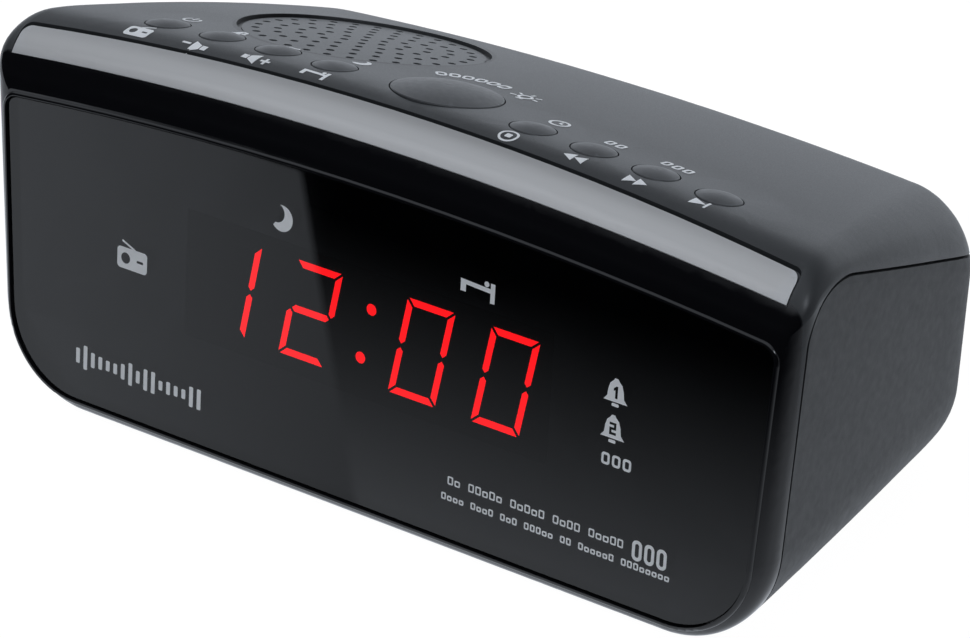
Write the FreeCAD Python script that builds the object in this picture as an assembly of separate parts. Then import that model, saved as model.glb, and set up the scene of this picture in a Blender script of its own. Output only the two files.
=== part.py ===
import FreeCAD, Part
import math
import os

# Clock radio: front at -Y, width along X, +Z up.
# It is drawn about the middle of the cabinet, then moved by ORIGIN_Y so that the origin lies on the
# table under the middle of the overall box, cord stub included.

# ---------------------------------------------------------------- driving dimensions (mm, degrees)
DEPTH = 104.2                 # cabinet, front foot line to back
HALF_WIDTH = 106.2            # half width of the front at REF_HEIGHT
REF_HEIGHT = 45.0             # height at which HALF_WIDTH is measured
SIDE_LEAN = 0.063             # sides spread by this much per mm of height
SIDE_TAPER = 0.111            # sides close in by this much per mm towards the back
SIDE_TAPER_GROWTH = 0.00022   # extra closing in, per mm squared
FRONT_LEAN = 4.93             # front face leans back
TOP_AT_FRONT = 94.8           # height of the top line run out to the front face
TOP_FALL = 0.1775             # fall of the top line per mm towards the back
TOP_FALL_GROWTH = 0.000875    # extra fall, per mm squared
CROWN_RADIUS = 985.0          # left-to-right arch of the top
LOWER_CORNER = 25.0           # radius of the lower corners seen from the front
UPPER_CORNER_FRONT = 4.0
UPPER_CORNER_BACK = 18.0
FRONT_TOP_ROUND = 17.0        # rounding between front face and top
FRONT_SIDE_ROUND = 5.6
FRONT_BOTTOM_ROUND = 4.4
BACK_SIDE_ROUND = 14.9
BACK_TOP_ROUND = 10.8
BACK_BOTTOM_ROUND = 5.5
WALL = 2.6
STANDOFF = 0.8                # rubber feet hold the cabinet this far off the table

SEAM_GAP = 0.6                # visible groove between the two mouldings
LIP_REACH = 3.0               # tongue behind the groove
LIP_INSET = 1.35              # outer face of the tongue, inside the outer surface
LIP_CLEARANCE = 0.15
SEAM_LEAN = 0.05
SEAM_CENTRE_Y = -30.9         # centre line of the seam's two rounded stretches
SEAM_TOP = 80.9
SEAM_FRONT_RADIUS = 11.0
SEAM_BACK_RADIUS = 25.0
SEAM_SLOPE = 20.7

LENS_HALF_WIDTH = 101.25
LENS_SIDE_LEAN = 0.0542
LENS_BOTTOM = 3.9
LENS_TOP = 76.2
LENS_LOWER_CORNER = 19.2
LENS_UPPER_CORNER = 3.2
LENS_THICKNESS = 1.5
LENS_BELOW_RIM = 0.2          # lens face, behind the cabinet's front plane
LENS_GAP = 0.2
RIM_WIDTH = 1.2               # raised rim round the lens
RIM_HEIGHT = 0.5

TRIM_FRONT_EDGE = -42.8       # lower edge of the trim strip, seen from above
TRIM_BACK_EDGE = -36.0        # upper edge of the trim strip
TRIM_FRONT_BOW = 0.5          # both edges come forward towards the ends
TRIM_BACK_BOW = 2.1
TRIM_HALF_LENGTH = 103.0
TRIM_THICKNESS = 1.0
TRIM_END_RADIUS = 2.2
TRIM_GROOVE = 1.0             # shadow groove behind the strip
TRIM_GAP = 0.1

BUTTON_Y = -24.4
BUTTON_FIRST_X = 26.5
BUTTON_PITCH = 15.7
BUTTON_RADIUS = 5.0
BUTTON_DOME = 0.75
SNOOZE_Y = -19.3
SNOOZE_RADIUS = 12.3
SNOOZE_DOME = 1.7
BUTTON_GAP = 0.25
BUTTON_PROUD = 0.2
FLANGE_WIDTH = 0.9
FLANGE_THICKNESS = 1.0
FLANGE_CLEARANCE = 0.35
KEY_TILT = 12.7               # the key board lies parallel to the top under the buttons
KEY_BOARD_DEPTH = 13.0
SWITCH_SIZE = 6.0
SWITCH_HEIGHT = 3.4
PLUNGER_RADIUS = 1.6
PLUNGER_HEIGHT = 1.6
PLUNGER_IN_BODY = 1.4
STEM_RADIUS = 1.0
STEM_GAP = 0.1
BOARD = 1.6

GRILLE_X = -45.0
GRILLE_Y = 8.8
GRILLE_RADIUS = 28.6
GRILLE_RECESS = 0.7
GRILLE_GROOVE = 1.2
HOLE_PITCH = 4.87
HOLE_RADIUS = 0.95
HOLE_RINGS = 5

DIGIT_HEIGHT = 22.8
DIGIT_WIDTH = 12.6
DIGIT_SLANT = 10.5
DIGIT_BASE = 31.8             # along the front face, above the foot line
DIGIT_LEFTS = (-46.8, -24.6, 5.5, 27.6)
COLON_POINTS = ((0.2, 48.9), (-2.2, 37.2))
COLON_RADIUS = 1.3
SEGMENT_WIDTH = 1.6
SEGMENT_SPACE = 0.45
SEGMENT_DEPTH = 1.0
SHOWN_TIME = ("bc", "abged", "abcdef", "abcdef")
HOUSING = (-50.5, 47.5, 28.6, 57.4)     # digit block: left, right, bottom, top on the front face
HOUSING_FRONT = -1.9                    # distances behind the front plane
HOUSING_BACK = -10.7
DISPLAY_BOARD_FRONT = -10.8
DISPLAY_BOARD = (-76.0, 76.0, 12.0, 69.5)
DISPLAY_SCREWS = ((-70.0, 17.0), (70.0, 17.0), (-70.0, 64.0), (70.0, 64.0))
LAMP_POINTS = ((-65.0, 41.0), (-23.6, 62.3), (29.0, 61.6), (65.3, 50.0), (65.1, 42.0))
LAMP_RADIUS = 1.5

MAIN_BOARD_Z = 24.0
MAIN_BOARD = (-85.0, 24.0, -30.0, 30.0)
MAIN_SCREWS = ((-80.0, -26.0), (-80.0, 26.0), (20.0, -26.0), (20.0, 26.0))
FRONT_FIXINGS = ((-56.0, -38.0), (56.0, -38.0))
BACK_FIXINGS = ((-64.0, 38.0), (64.0, 38.0))
FEET = ((-70.0, -30.0), (70.0, -30.0), (-50.0, 36.0), (50.0, 36.0))
FOOT_RADIUS = 5.0
POST_RADIUS = 3.5
SCREW_RADIUS = 1.4
SCREW_HEAD_RADIUS = 2.8
SMALL_SCREW_RADIUS = 1.0
SMALL_HEAD_RADIUS = 2.0
HEAD_HEIGHT = 1.3
POST_END_Z = 12.0             # lower end of the two rear screw posts
POST_HOLE_TOP = 22.0
LUG_TOP = 9.5                 # front fixing lugs
FLOOR_TOP = STANDOFF + WALL
FRONT_HEAD_SEAT = STANDOFF + HEAD_HEIGHT
BACK_HEAD_SEAT = 7.0
BOSS_RADIUS = 2.3
KEY_HOLE_TOP = -8.5           # tops of the blind screw holes, in each board's own frame
SPEAKER_HOLE_TOP = -1.9
DISPLAY_HOLE_TOP = -3.5
MAIN_HOLE_BASE = 14.0
TRANSFORMER_HOLE_BASE = 4.6
FOOT_TOP = STANDOFF + 1.0
LAMP_TOP = -3.0

BATTERY_X = 27.0              # half length of the battery bay
BATTERY_Y = 11.2              # half width
BATTERY_TOP = 14.5
BAY_WALL = 1.4
DOOR_GAP = 0.3
DOOR_THICKNESS = 1.8
CELL_RADIUS = 5.2
CELL_LENGTH = 44.0
CELL_Z = 8.6
CELL_ROWS = ((-5.45, 1), (5.45, -1))    # y of each cell, and which way its plus end points
PIN_RADIUS = 0.6              # battery door pivots
PIVOT_Y = -BATTERY_Y + DOOR_GAP + DOOR_THICKNESS / 2
PIVOT_Z = STANDOFF + DOOR_THICKNESS / 2
TUNER_SHIELD = (-62, -8, 24, 30, 12)   # x, y, length, width, height on the main board
CHIPS = ((-20.0, -2.0, 26.0, 9.0, 3.2), (6.0, 14.0, 18.0, 7.0, 3.2), (-28.0, 16.0, 7.0, 7.0, 1.4))
CAPACITORS = ((14.0, 2.0, 5.0, 16.0), (2.0, -1.0, 4.0, 12.0), (-46.0, 2.0, 2.5, 8.0), (-8.0, 22.0, 3.2, 11.0))
TRANSFORMER_X = 58.0
TRANSFORMER_Y = 5.0
TRANSFORMER_BASE = 8.6        # top of the two bosses it stands on
CORE_HALF = (19.0, 9.0)       # half width and half depth of the iron core
CORE_HEIGHT = 32.0
FOOT_REACH = 22.0             # bracket screws, from the middle

SPEAKER_SEAT = -4.4           # seat of the loudspeaker's flange, below the outer surface
SPEAKER_SEAT_RING = (25.5, 26.9)
SPEAKER_FLANGE = 1.2
SPEAKER_RADIUS = 26.6
SPEAKER_SCREW_RADIUS = 29.4
SPEAKER_SCREW_ANGLES = (90.0, 210.0, 330.0)
SPEAKER_EAR = 3.0
CONE_RADIUS = 22.6
MAGNET_RADIUS = 14.0
MAGNET_TOP = -17.2
MAGNET_HEIGHT = 8.0
VOICE_COIL = (6.4, 7.0)

KEY_BOARD_EDGES = (-87.5, 87.5, -8.0, 9.8)
KEY_SCREWS = ((-84.0, 0.0), (84.0, 0.0), (-16.0, -5.0), (16.0, -5.0))

CORD_X = 52.0
CORD_Z = 15.0
CORD_RADIUS = 2.6
CORD_STUB = 14.0
GLAND_RADIUS = 4.4
AERIAL_X = -56.0
AERIAL_Z = 15.0
AERIAL_RADIUS = 0.9
CABLE_GAP = 0.05              # cable ends stand this far off the boards
WIRE_GAP = 0.3                # and the speaker wires this far off the basket
ORIGIN_Y = 6.9

FRONT_Y = -DEPTH / 2
X_AXIS = FreeCAD.Vector(1, 0, 0)
UP = FreeCAD.Vector(0, 0, 1)


# ---------------------------------------------------------------- helpers
def vec(x, y, z):
    return FreeCAD.Vector(x, y, z)


def frame(origin, x_dir, normal):
    """Placement whose local X is x_dir (made square) and whose local Z is normal."""
    z_dir = FreeCAD.Vector(normal).normalize()
    x_dir = (x_dir - z_dir * x_dir.dot(z_dir)).normalize()
    y_dir = z_dir.cross(x_dir)
    matrix = FreeCAD.Matrix(x_dir.x, y_dir.x, z_dir.x, origin.x,
                            x_dir.y, y_dir.y, z_dir.y, origin.y,
                            x_dir.z, y_dir.z, z_dir.z, origin.z,
                            0, 0, 0, 1)
    return FreeCAD.Placement(matrix)


def placed(shape, placement):
    moved = shape.copy()
    moved.Placement = placement.multiply(moved.Placement)
    return moved


def box(x0, x1, y0, y1, z0, z1):
    return Part.makeBox(x1 - x0, y1 - y0, z1 - z0, vec(x0, y0, z0))


def cylinder(radius, z0, z1, x=0.0, y=0.0):
    return Part.makeCylinder(radius, z1 - z0, vec(x, y, z0))


def sweep(points, profile_at):
    """Sweep of a closed profile along a smooth curve through the points."""
    curve = Part.BSplineCurve()
    curve.interpolate(points)
    spine = curve.toShape()
    direction = spine.tangentAt(spine.FirstParameter)
    return Part.Wire([spine]).makePipeShell([profile_at(points[0], direction)], True, False)


def round_wire(points, radius):
    return sweep(points, lambda start, direction: Part.Wire([Part.makeCircle(radius, start, direction)]))


def flat_cable(points, width, thickness):
    """Ribbon whose width runs along X; the points lie in one upright plane."""
    def profile(start, direction):
        across = X_AXIS * (width / 2)
        through = direction.cross(X_AXIS).normalize() * (thickness / 2)
        return Part.makePolygon([start - across - through, start + across - through,
                                 start + across + through, start - across + through,
                                 start - across - through])
    return sweep(points, profile)


def extruded(outline, z0, z1):
    face = Part.Face(outline)
    face.translate(vec(0, 0, z0))
    return face.extrude(vec(0, 0, z1 - z0))


def turned(points):
    """Solid of revolution about local Z from an (r, z) polygon."""
    outline = Part.makePolygon([vec(r, 0, z) for r, z in points] + [vec(points[0][0], 0, points[0][1])])
    return Part.Face(outline).revolve(vec(0, 0, 0), UP, 360)


def group(shapes):
    return Part.makeCompound(shapes)


def rounding_inset(distance, radius):
    """How far a rounded edge of this radius stands back at a distance from the face."""
    if distance >= radius:
        return 0.0
    rest = radius - max(distance, 0.0)
    return radius - math.sqrt(max(radius * radius - rest * rest, 0.0))


def arch_outline(half_width, lean, ref, bottom, top, lower_radius, upper_radius, crown):
    """Closed outline in (x, s): flat bottom, leaning sides, arched top, four round corners."""
    slant = math.sqrt(1 + lean * lean)
    crown_centre = top - crown
    base = half_width - lean * ref - upper_radius * slant
    a = slant * slant
    b = 2 * (base * lean - crown_centre)
    c = base * base + crown_centre ** 2 - (crown - upper_radius) ** 2
    upper_s = (-b + math.sqrt(b * b - 4 * a * c)) / (2 * a)
    upper_x = base + lean * upper_s
    lower_s = bottom + lower_radius
    lower_x = half_width + lean * (lower_s - ref) - lower_radius * slant
    side_angle = math.atan2(-lean, 1.0)
    top_angle = math.atan2(upper_s - crown_centre, upper_x)

    def on_arc(cx, cs, radius, angle, sign):
        return vec(sign * (cx + radius * math.cos(angle)), cs + radius * math.sin(angle), 0)

    def corner(cx, cs, radius, start, end, sign):
        return [on_arc(cx, cs, radius, start + (end - start) * t, sign) for t in (0.0, 0.5, 1.0)]

    lower_right = corner(lower_x, lower_s, lower_radius, -math.pi / 2, side_angle, 1)
    upper_right = corner(upper_x, upper_s, upper_radius, side_angle, top_angle, 1)
    upper_left = corner(upper_x, upper_s, upper_radius, top_angle, side_angle, -1)
    lower_left = corner(lower_x, lower_s, lower_radius, side_angle, -math.pi / 2, -1)
    middle = vec(0, top, 0)
    return Part.Wire([
        Part.LineSegment(lower_left[2], lower_right[0]).toShape(),
        Part.Arc(*lower_right).toShape(),
        Part.LineSegment(lower_right[2], upper_right[0]).toShape(),
        Part.Arc(*upper_right).toShape(),
        Part.Arc(upper_right[2], middle, upper_left[0]).toShape(),
        Part.Arc(*upper_left).toShape(),
        Part.LineSegment(upper_left[2], lower_left[0]).toShape(),
        Part.Arc(*lower_left).toShape(),
    ])


def lean_at(depth):
    """Lean of the cross-sections: the front's at the front, upright at the back."""
    return math.radians(FRONT_LEAN) * (1 - depth / DEPTH)


def section_placement(depth):
    lean = lean_at(depth)
    normal = vec(0, -math.cos(lean), math.sin(lean))
    return frame(vec(0, FRONT_Y + depth, STANDOFF), X_AXIS, normal)


def cabinet_section(depth, inset):
    """Cross-section of the cabinet, shrunk by inset, at a distance behind the front."""
    front = depth - inset
    back = DEPTH - inset - depth
    side_cut = (inset + rounding_inset(front, FRONT_SIDE_ROUND - inset * 0.6)
                + rounding_inset(back, BACK_SIDE_ROUND - inset))
    bottom_cut = (inset + rounding_inset(front, FRONT_BOTTOM_ROUND - inset * 0.6)
                  + rounding_inset(back, BACK_BOTTOM_ROUND - inset))
    top_cut = (inset + rounding_inset(front, FRONT_TOP_ROUND - inset)
               + rounding_inset(back, BACK_TOP_ROUND - inset))
    half_width = HALF_WIDTH - SIDE_TAPER * depth - SIDE_TAPER_GROWTH * depth * depth - side_cut
    top = TOP_AT_FRONT - TOP_FALL * depth - TOP_FALL_GROWTH * depth * depth - top_cut
    share = depth / DEPTH
    upper = UPPER_CORNER_FRONT + (UPPER_CORNER_BACK - UPPER_CORNER_FRONT) * share
    upper = max(upper - 0.5 * side_cut, 1.2)
    lower = LOWER_CORNER - max(side_cut, bottom_cut)
    outline = arch_outline(half_width, SIDE_LEAN, REF_HEIGHT, bottom_cut, top, lower, upper,
                           CROWN_RADIUS - inset)
    return placed(outline, section_placement(depth))


def cabinet_solid(inset):
    """Smooth skin through the cross-sections, closer together where the edges are round."""
    front_round = FRONT_TOP_ROUND - inset
    back_round = BACK_SIDE_ROUND - inset
    steps = 8
    depths = [inset + front_round * (1 - math.cos(math.pi / 2 * i / steps)) for i in range(steps + 1)]
    flat_start = inset + front_round
    flat_end = DEPTH - inset - back_round
    depths += [flat_start + (flat_end - flat_start) * i / 6 for i in range(1, 6)]
    depths += [DEPTH - inset - back_round * (1 - math.cos(math.pi / 2 * (steps - i) / steps))
               for i in range(steps + 1)]
    return Part.makeLoft([cabinet_section(d, inset) for d in depths], True, False)



def front_placement():
    return section_placement(0.0)


def on_front(shape):
    """Shape drawn in (x, height along the front, distance in front of it)."""
    return placed(shape, front_placement())


def top_height(depth):
    """Height of the top line, along the leaning section, with its front and back roundings."""
    return (TOP_AT_FRONT - TOP_FALL * depth - TOP_FALL_GROWTH * depth * depth
            - rounding_inset(depth, FRONT_TOP_ROUND) - rounding_inset(DEPTH - depth, BACK_TOP_ROUND))


def top_point(x, y):
    """Point of the outer top surface above (x, y)."""
    depth = y - FRONT_Y
    for _ in range(12):
        lean = lean_at(depth)
        height = top_height(depth)
        depth = y - FRONT_Y - height * math.sin(lean)
    height = top_height(depth) - CROWN_RADIUS + math.sqrt(CROWN_RADIUS ** 2 - x * x)
    return vec(x, y, STANDOFF + height * math.cos(lean_at(depth)))


def top_frame(x, y):
    """Placement on the top surface: local Z is the outward normal, local X runs across."""
    step = 0.5
    along_x = top_point(x + step, y) - top_point(x - step, y)
    along_y = top_point(x, y + step) - top_point(x, y - step)
    return frame(top_point(x, y), X_AXIS, along_x.cross(along_y))


def key_frame():
    """Placement of the key board's plane, drawn up to the top surface over the button row."""
    tilt = math.radians(KEY_TILT)
    return frame(top_point(0, BUTTON_Y), X_AXIS, vec(0, math.sin(tilt), math.cos(tilt)))


# ---------------------------------------------------------------- the seam between the mouldings
def seam_region(offset):
    """Everything in front of and above the seam line, which is moved back and down by offset."""
    front_radius = SEAM_FRONT_RADIUS - offset
    back_radius = SEAM_BACK_RADIUS - offset
    lean = math.atan(SEAM_LEAN)
    slope = math.radians(SEAM_SLOPE)

    def on_arc(radius, top_radius, angle):
        centre_z = SEAM_TOP - top_radius
        height = STANDOFF + centre_z + radius * math.sin(angle)
        return vec(0, SEAM_CENTRE_Y + radius * math.cos(angle), height)

    straight = math.pi - lean
    front = [on_arc(front_radius, SEAM_FRONT_RADIUS, a)
             for a in (straight, (straight + math.pi / 2) / 2, math.pi / 2)]
    back = [on_arc(back_radius, SEAM_BACK_RADIUS, math.pi / 2 - slope * t) for t in (0.0, 0.5, 1.0)]
    reach = 2 * DEPTH
    below = front[0] + vec(0, -math.sin(lean), -math.cos(lean)) * reach
    behind = back[2] + vec(0, math.cos(slope), -math.sin(slope)) * reach
    outline = Part.Wire([
        Part.LineSegment(below, front[0]).toShape(),
        Part.Arc(*front).toShape(),
        Part.Arc(*back).toShape(),
        Part.LineSegment(back[2], behind).toShape(),
        Part.LineSegment(behind, vec(0, behind.y, reach)).toShape(),
        Part.LineSegment(vec(0, behind.y, reach), vec(0, -reach, reach)).toShape(),
        Part.LineSegment(vec(0, -reach, reach), vec(0, -reach, below.z)).toShape(),
        Part.LineSegment(vec(0, -reach, below.z), below).toShape(),
    ])
    face = Part.Face(outline)
    face.translate(vec(-HALF_WIDTH - 10, 0, 0))
    return face.extrude(vec(2 * HALF_WIDTH + 20, 0, 0))


# ---------------------------------------------------------------- window, trim, speaker openings
def lens_outline(grow):
    return arch_outline(LENS_HALF_WIDTH + grow, LENS_SIDE_LEAN, REF_HEIGHT, LENS_BOTTOM - grow,
                        LENS_TOP + grow, LENS_LOWER_CORNER + grow, LENS_UPPER_CORNER + grow, CROWN_RADIUS)


def front_lens():
    back = -LENS_BELOW_RIM - LENS_THICKNESS
    lens = extruded(lens_outline(0.0), back, -LENS_BELOW_RIM)
    face_edges = [e for e in lens.Edges if abs(e.BoundBox.ZMin + LENS_BELOW_RIM) < 1e-4
                  and abs(e.BoundBox.ZMax + LENS_BELOW_RIM) < 1e-4]
    return on_front(lens.makeFillet(0.3, face_edges))


def lens_rim():
    rim = extruded(lens_outline(RIM_WIDTH), -1.2, RIM_HEIGHT)
    edges = [e for e in rim.Edges if abs(e.BoundBox.ZMin - RIM_HEIGHT) < 1e-4]
    return on_front(rim.makeFillet(0.8, edges))


def trim_prism(front_grow, back_grow, end_grow):
    """Upright prism over the trim strip's outline seen from above."""
    half = TRIM_HALF_LENGTH + end_grow
    front = TRIM_FRONT_EDGE - front_grow
    back = TRIM_BACK_EDGE + back_grow
    square = (half / 100.0) ** 2
    front_end = front - TRIM_FRONT_BOW * square
    back_end = back - TRIM_BACK_BOW * square
    outline = Part.Wire([
        Part.Arc(vec(-half, front_end, 0), vec(0, front, 0), vec(half, front_end, 0)).toShape(),
        Part.LineSegment(vec(half, front_end, 0), vec(half, back_end, 0)).toShape(),
        Part.Arc(vec(half, back_end, 0), vec(0, back, 0), vec(-half, back_end, 0)).toShape(),
        Part.LineSegment(vec(-half, back_end, 0), vec(-half, front_end, 0)).toShape(),
    ])
    prism = extruded(outline, 72.0, 100.0)
    corners = [e for e in prism.Edges if e.BoundBox.ZLength > 20 and e.BoundBox.YMin > back_end - 0.01]
    return prism.makeFillet(TRIM_END_RADIUS, corners)


def grille_holes():
    holes = [cylinder(HOLE_RADIUS, -8, 4)]
    for ring in range(1, HOLE_RINGS + 1):
        count = 6 * ring
        for i in range(count):
            angle = 2 * math.pi * i / count
            radius = ring * HOLE_PITCH
            holes.append(cylinder(HOLE_RADIUS, -8, 4, radius * math.cos(angle), radius * math.sin(angle)))
    return group([placed(h, top_frame(GRILLE_X, GRILLE_Y)) for h in holes])


def speaker_screw_points():
    return [(SPEAKER_SCREW_RADIUS * math.cos(math.radians(a)),
             SPEAKER_SCREW_RADIUS * math.sin(math.radians(a)))
            for a in SPEAKER_SCREW_ANGLES]


# ---------------------------------------------------------------- buttons and keys
def button_list():
    """Name, x, y, radius and dome height of every button, left to right."""
    left = ("radio_power_button", "volume_down_button", "volume_up_button", "sleep_button")
    right = ("memory_clock_button", "hour_button", "minute_button", "preset_button")
    buttons = []
    for i, name in enumerate(left):
        x = -BUTTON_FIRST_X - BUTTON_PITCH * (len(left) - 1 - i)
        buttons.append((name, x, BUTTON_Y, BUTTON_RADIUS, BUTTON_DOME))
    buttons.append(("snooze_button", 0.0, SNOOZE_Y, SNOOZE_RADIUS, SNOOZE_DOME))
    for i, name in enumerate(right):
        buttons.append((name, BUTTON_FIRST_X + BUTTON_PITCH * i, BUTTON_Y, BUTTON_RADIUS, BUTTON_DOME))
    return buttons


def plunger_top():
    return -KEY_BOARD_DEPTH + SWITCH_HEIGHT + PLUNGER_HEIGHT


def stem_length(x, y):
    """From the top surface down to just above the switch plunger."""
    local = key_frame().inverse().multVec(top_point(x, y))
    return local.z - plunger_top() - STEM_GAP


def switch_point(x, y):
    """Where the stem ends, in the key board's own plane."""
    tip = top_frame(x, y).multVec(vec(0, 0, -stem_length(x, y)))
    local = key_frame().inverse().multVec(tip)
    return local.x, local.y


def button_solid(x, y, radius, dome):
    edge = 0.35
    rim = BUTTON_PROUD
    flange_top = -WALL - FLANGE_CLEARANCE * radius / BUTTON_RADIUS
    flange_low = flange_top - FLANGE_THICKNESS
    flange = radius + FLANGE_WIDTH
    low = -stem_length(x, y)
    inner = radius - edge
    ball = (inner * inner + dome * dome) / (2 * dome)
    mid = inner / 2

    def p(r, z):
        return vec(r, 0, z)

    def line(a, b):
        return Part.LineSegment(p(*a), p(*b)).toShape()

    slant = edge * math.sqrt(0.5)
    dome_mid = rim + dome - ball + math.sqrt(ball * ball - mid * mid)
    outline = Part.Wire([
        line((0, low), (STEM_RADIUS, low)),
        line((STEM_RADIUS, low), (STEM_RADIUS, flange_low)),
        line((STEM_RADIUS, flange_low), (flange, flange_low)),
        line((flange, flange_low), (flange, flange_top)),
        line((flange, flange_top), (radius, flange_top)),
        line((radius, flange_top), (radius, rim - edge)),
        Part.Arc(p(radius, rim - edge), p(inner + slant, rim - edge + slant), p(inner, rim)).toShape(),
        Part.Arc(p(inner, rim), p(mid, dome_mid), p(0, rim + dome)).toShape(),
        line((0, rim + dome), (0, low)),
    ])
    return placed(Part.Face(outline).revolve(vec(0, 0, 0), UP, 360), top_frame(x, y))


def key_switch_body(u, v):
    half = SWITCH_SIZE / 2
    base = -KEY_BOARD_DEPTH
    body = box(u - half, u + half, v - half, v + half, base, base + SWITCH_HEIGHT)
    pocket = cylinder(PLUNGER_RADIUS + 0.05, base + 1.0, base + SWITCH_HEIGHT + 1, u, v)
    return placed(body.cut(pocket), key_frame())


def key_plunger(u, v):
    face = -KEY_BOARD_DEPTH + SWITCH_HEIGHT
    return placed(cylinder(PLUNGER_RADIUS, face - PLUNGER_IN_BODY, plunger_top(), u, v), key_frame())


def key_board():
    u0, u1, v0, v1 = KEY_BOARD_EDGES
    board = box(u0, u1, v0, v1, -KEY_BOARD_DEPTH - BOARD, -KEY_BOARD_DEPTH)
    for u, v in KEY_SCREWS:
        board = board.cut(cylinder(SMALL_SCREW_RADIUS + 0.2, -KEY_BOARD_DEPTH - 5, 0, u, v))
    return placed(board, key_frame())


def screw(point, reach, shank, head):
    """Screw in local (x, y): head below z = 0, shank up to reach."""
    x, y = point
    return cylinder(head, -HEAD_HEIGHT, 0, x, y).fuse(cylinder(shank, 0, reach, x, y))


# ---------------------------------------------------------------- cabinet mouldings
def behind_front(distance):
    """Everything more than this far behind the front plane."""
    return on_front(box(-2 * HALF_WIDTH, 2 * HALF_WIDTH, -DEPTH, 2 * DEPTH, -2 * DEPTH, -distance))


def front_bosses(thin):
    """Screw posts, board bosses and the loudspeaker seat on the inside of the front and top."""
    on_top = top_frame(GRILLE_X, GRILLE_Y)
    parts = []
    for x, y in BACK_FIXINGS:
        parts.append(cylinder(POST_RADIUS, POST_END_Z, TOP_AT_FRONT, x, y))
    for x, y in FRONT_FIXINGS:
        parts.append(box(x - 5, x + 5, FRONT_Y, y + 4.5, FLOOR_TOP + 0.2, LUG_TOP))
    for u, v in KEY_SCREWS:
        parts.append(placed(cylinder(BOSS_RADIUS, -KEY_BOARD_DEPTH, 3, u, v), key_frame()))
    inside, outside = SPEAKER_SEAT_RING
    parts.append(placed(cylinder(outside, SPEAKER_SEAT, 3).cut(cylinder(inside, -20, 5)), on_top))
    for x, y in speaker_screw_points():
        parts.append(placed(cylinder(BOSS_RADIUS, SPEAKER_SEAT, 3, x, y), on_top))
    for x, s in DISPLAY_SCREWS:
        parts.append(on_front(cylinder(BOSS_RADIUS, DISPLAY_BOARD_FRONT, -WALL / 2, x, s)))
    return [p.common(thin) for p in parts]


def front_screw_holes():
    on_top = top_frame(GRILLE_X, GRILLE_Y)
    holes = [cylinder(SCREW_RADIUS, 0, POST_HOLE_TOP, x, y) for x, y in BACK_FIXINGS]
    holes += [cylinder(SCREW_RADIUS, 0, LUG_TOP - 1, x, y) for x, y in FRONT_FIXINGS]
    for u, v in KEY_SCREWS:
        holes.append(placed(cylinder(SMALL_SCREW_RADIUS, -20, KEY_HOLE_TOP, u, v), key_frame()))
    holes += [placed(cylinder(SMALL_SCREW_RADIUS, -20, SPEAKER_HOLE_TOP, x, y), on_top)
              for x, y in speaker_screw_points()]
    holes += [on_front(cylinder(SMALL_SCREW_RADIUS, -20, DISPLAY_HOLE_TOP, x, s)) for x, s in DISPLAY_SCREWS]
    return holes


def front_top_cabinet(outer, thin, inner, tongue_room, grille_floor):
    region = seam_region(0.0)
    near_seam = region.cut(seam_region(-LIP_REACH - 0.2)).common(behind_front(WALL + LIP_CLEARANCE))
    body = outer.cut(inner).common(region)
    body = body.cut(tongue_room.cut(inner).common(near_seam))
    body = body.fuse([lens_rim()] + front_bosses(thin)).removeSplitter()
    left, right, low, high = HOUSING
    room = LENS_BELOW_RIM + LENS_THICKNESS
    cuts = [on_front(extruded(lens_outline(LENS_GAP), -room, 5)),
            on_front(box(left - 0.4, right + 0.4, low - 0.4, high + 0.4, -8, 2)),
            trim_prism(TRIM_GAP, TRIM_GROOVE, 0.3).cut(thin)]
    cuts += [on_front(cylinder(LAMP_RADIUS + 0.6, -8, 2, x, s)) for x, s in LAMP_POINTS]
    cuts += [placed(cylinder(radius + BUTTON_GAP, -8, 8), top_frame(x, y))
             for _, x, y, radius, _ in button_list()]
    cuts += front_screw_holes()
    place = top_frame(GRILLE_X, GRILLE_Y)
    disc = placed(cylinder(GRILLE_RADIUS, -8, 8), place)
    ring = disc.cut(placed(cylinder(GRILLE_RADIUS - GRILLE_GROOVE, -9, 9), place))
    cuts += [disc.cut(grille_floor), ring.cut(thin)]
    for cutter in cuts:
        body = body.cut(cutter)
    return body.cut(grille_holes())


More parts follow.
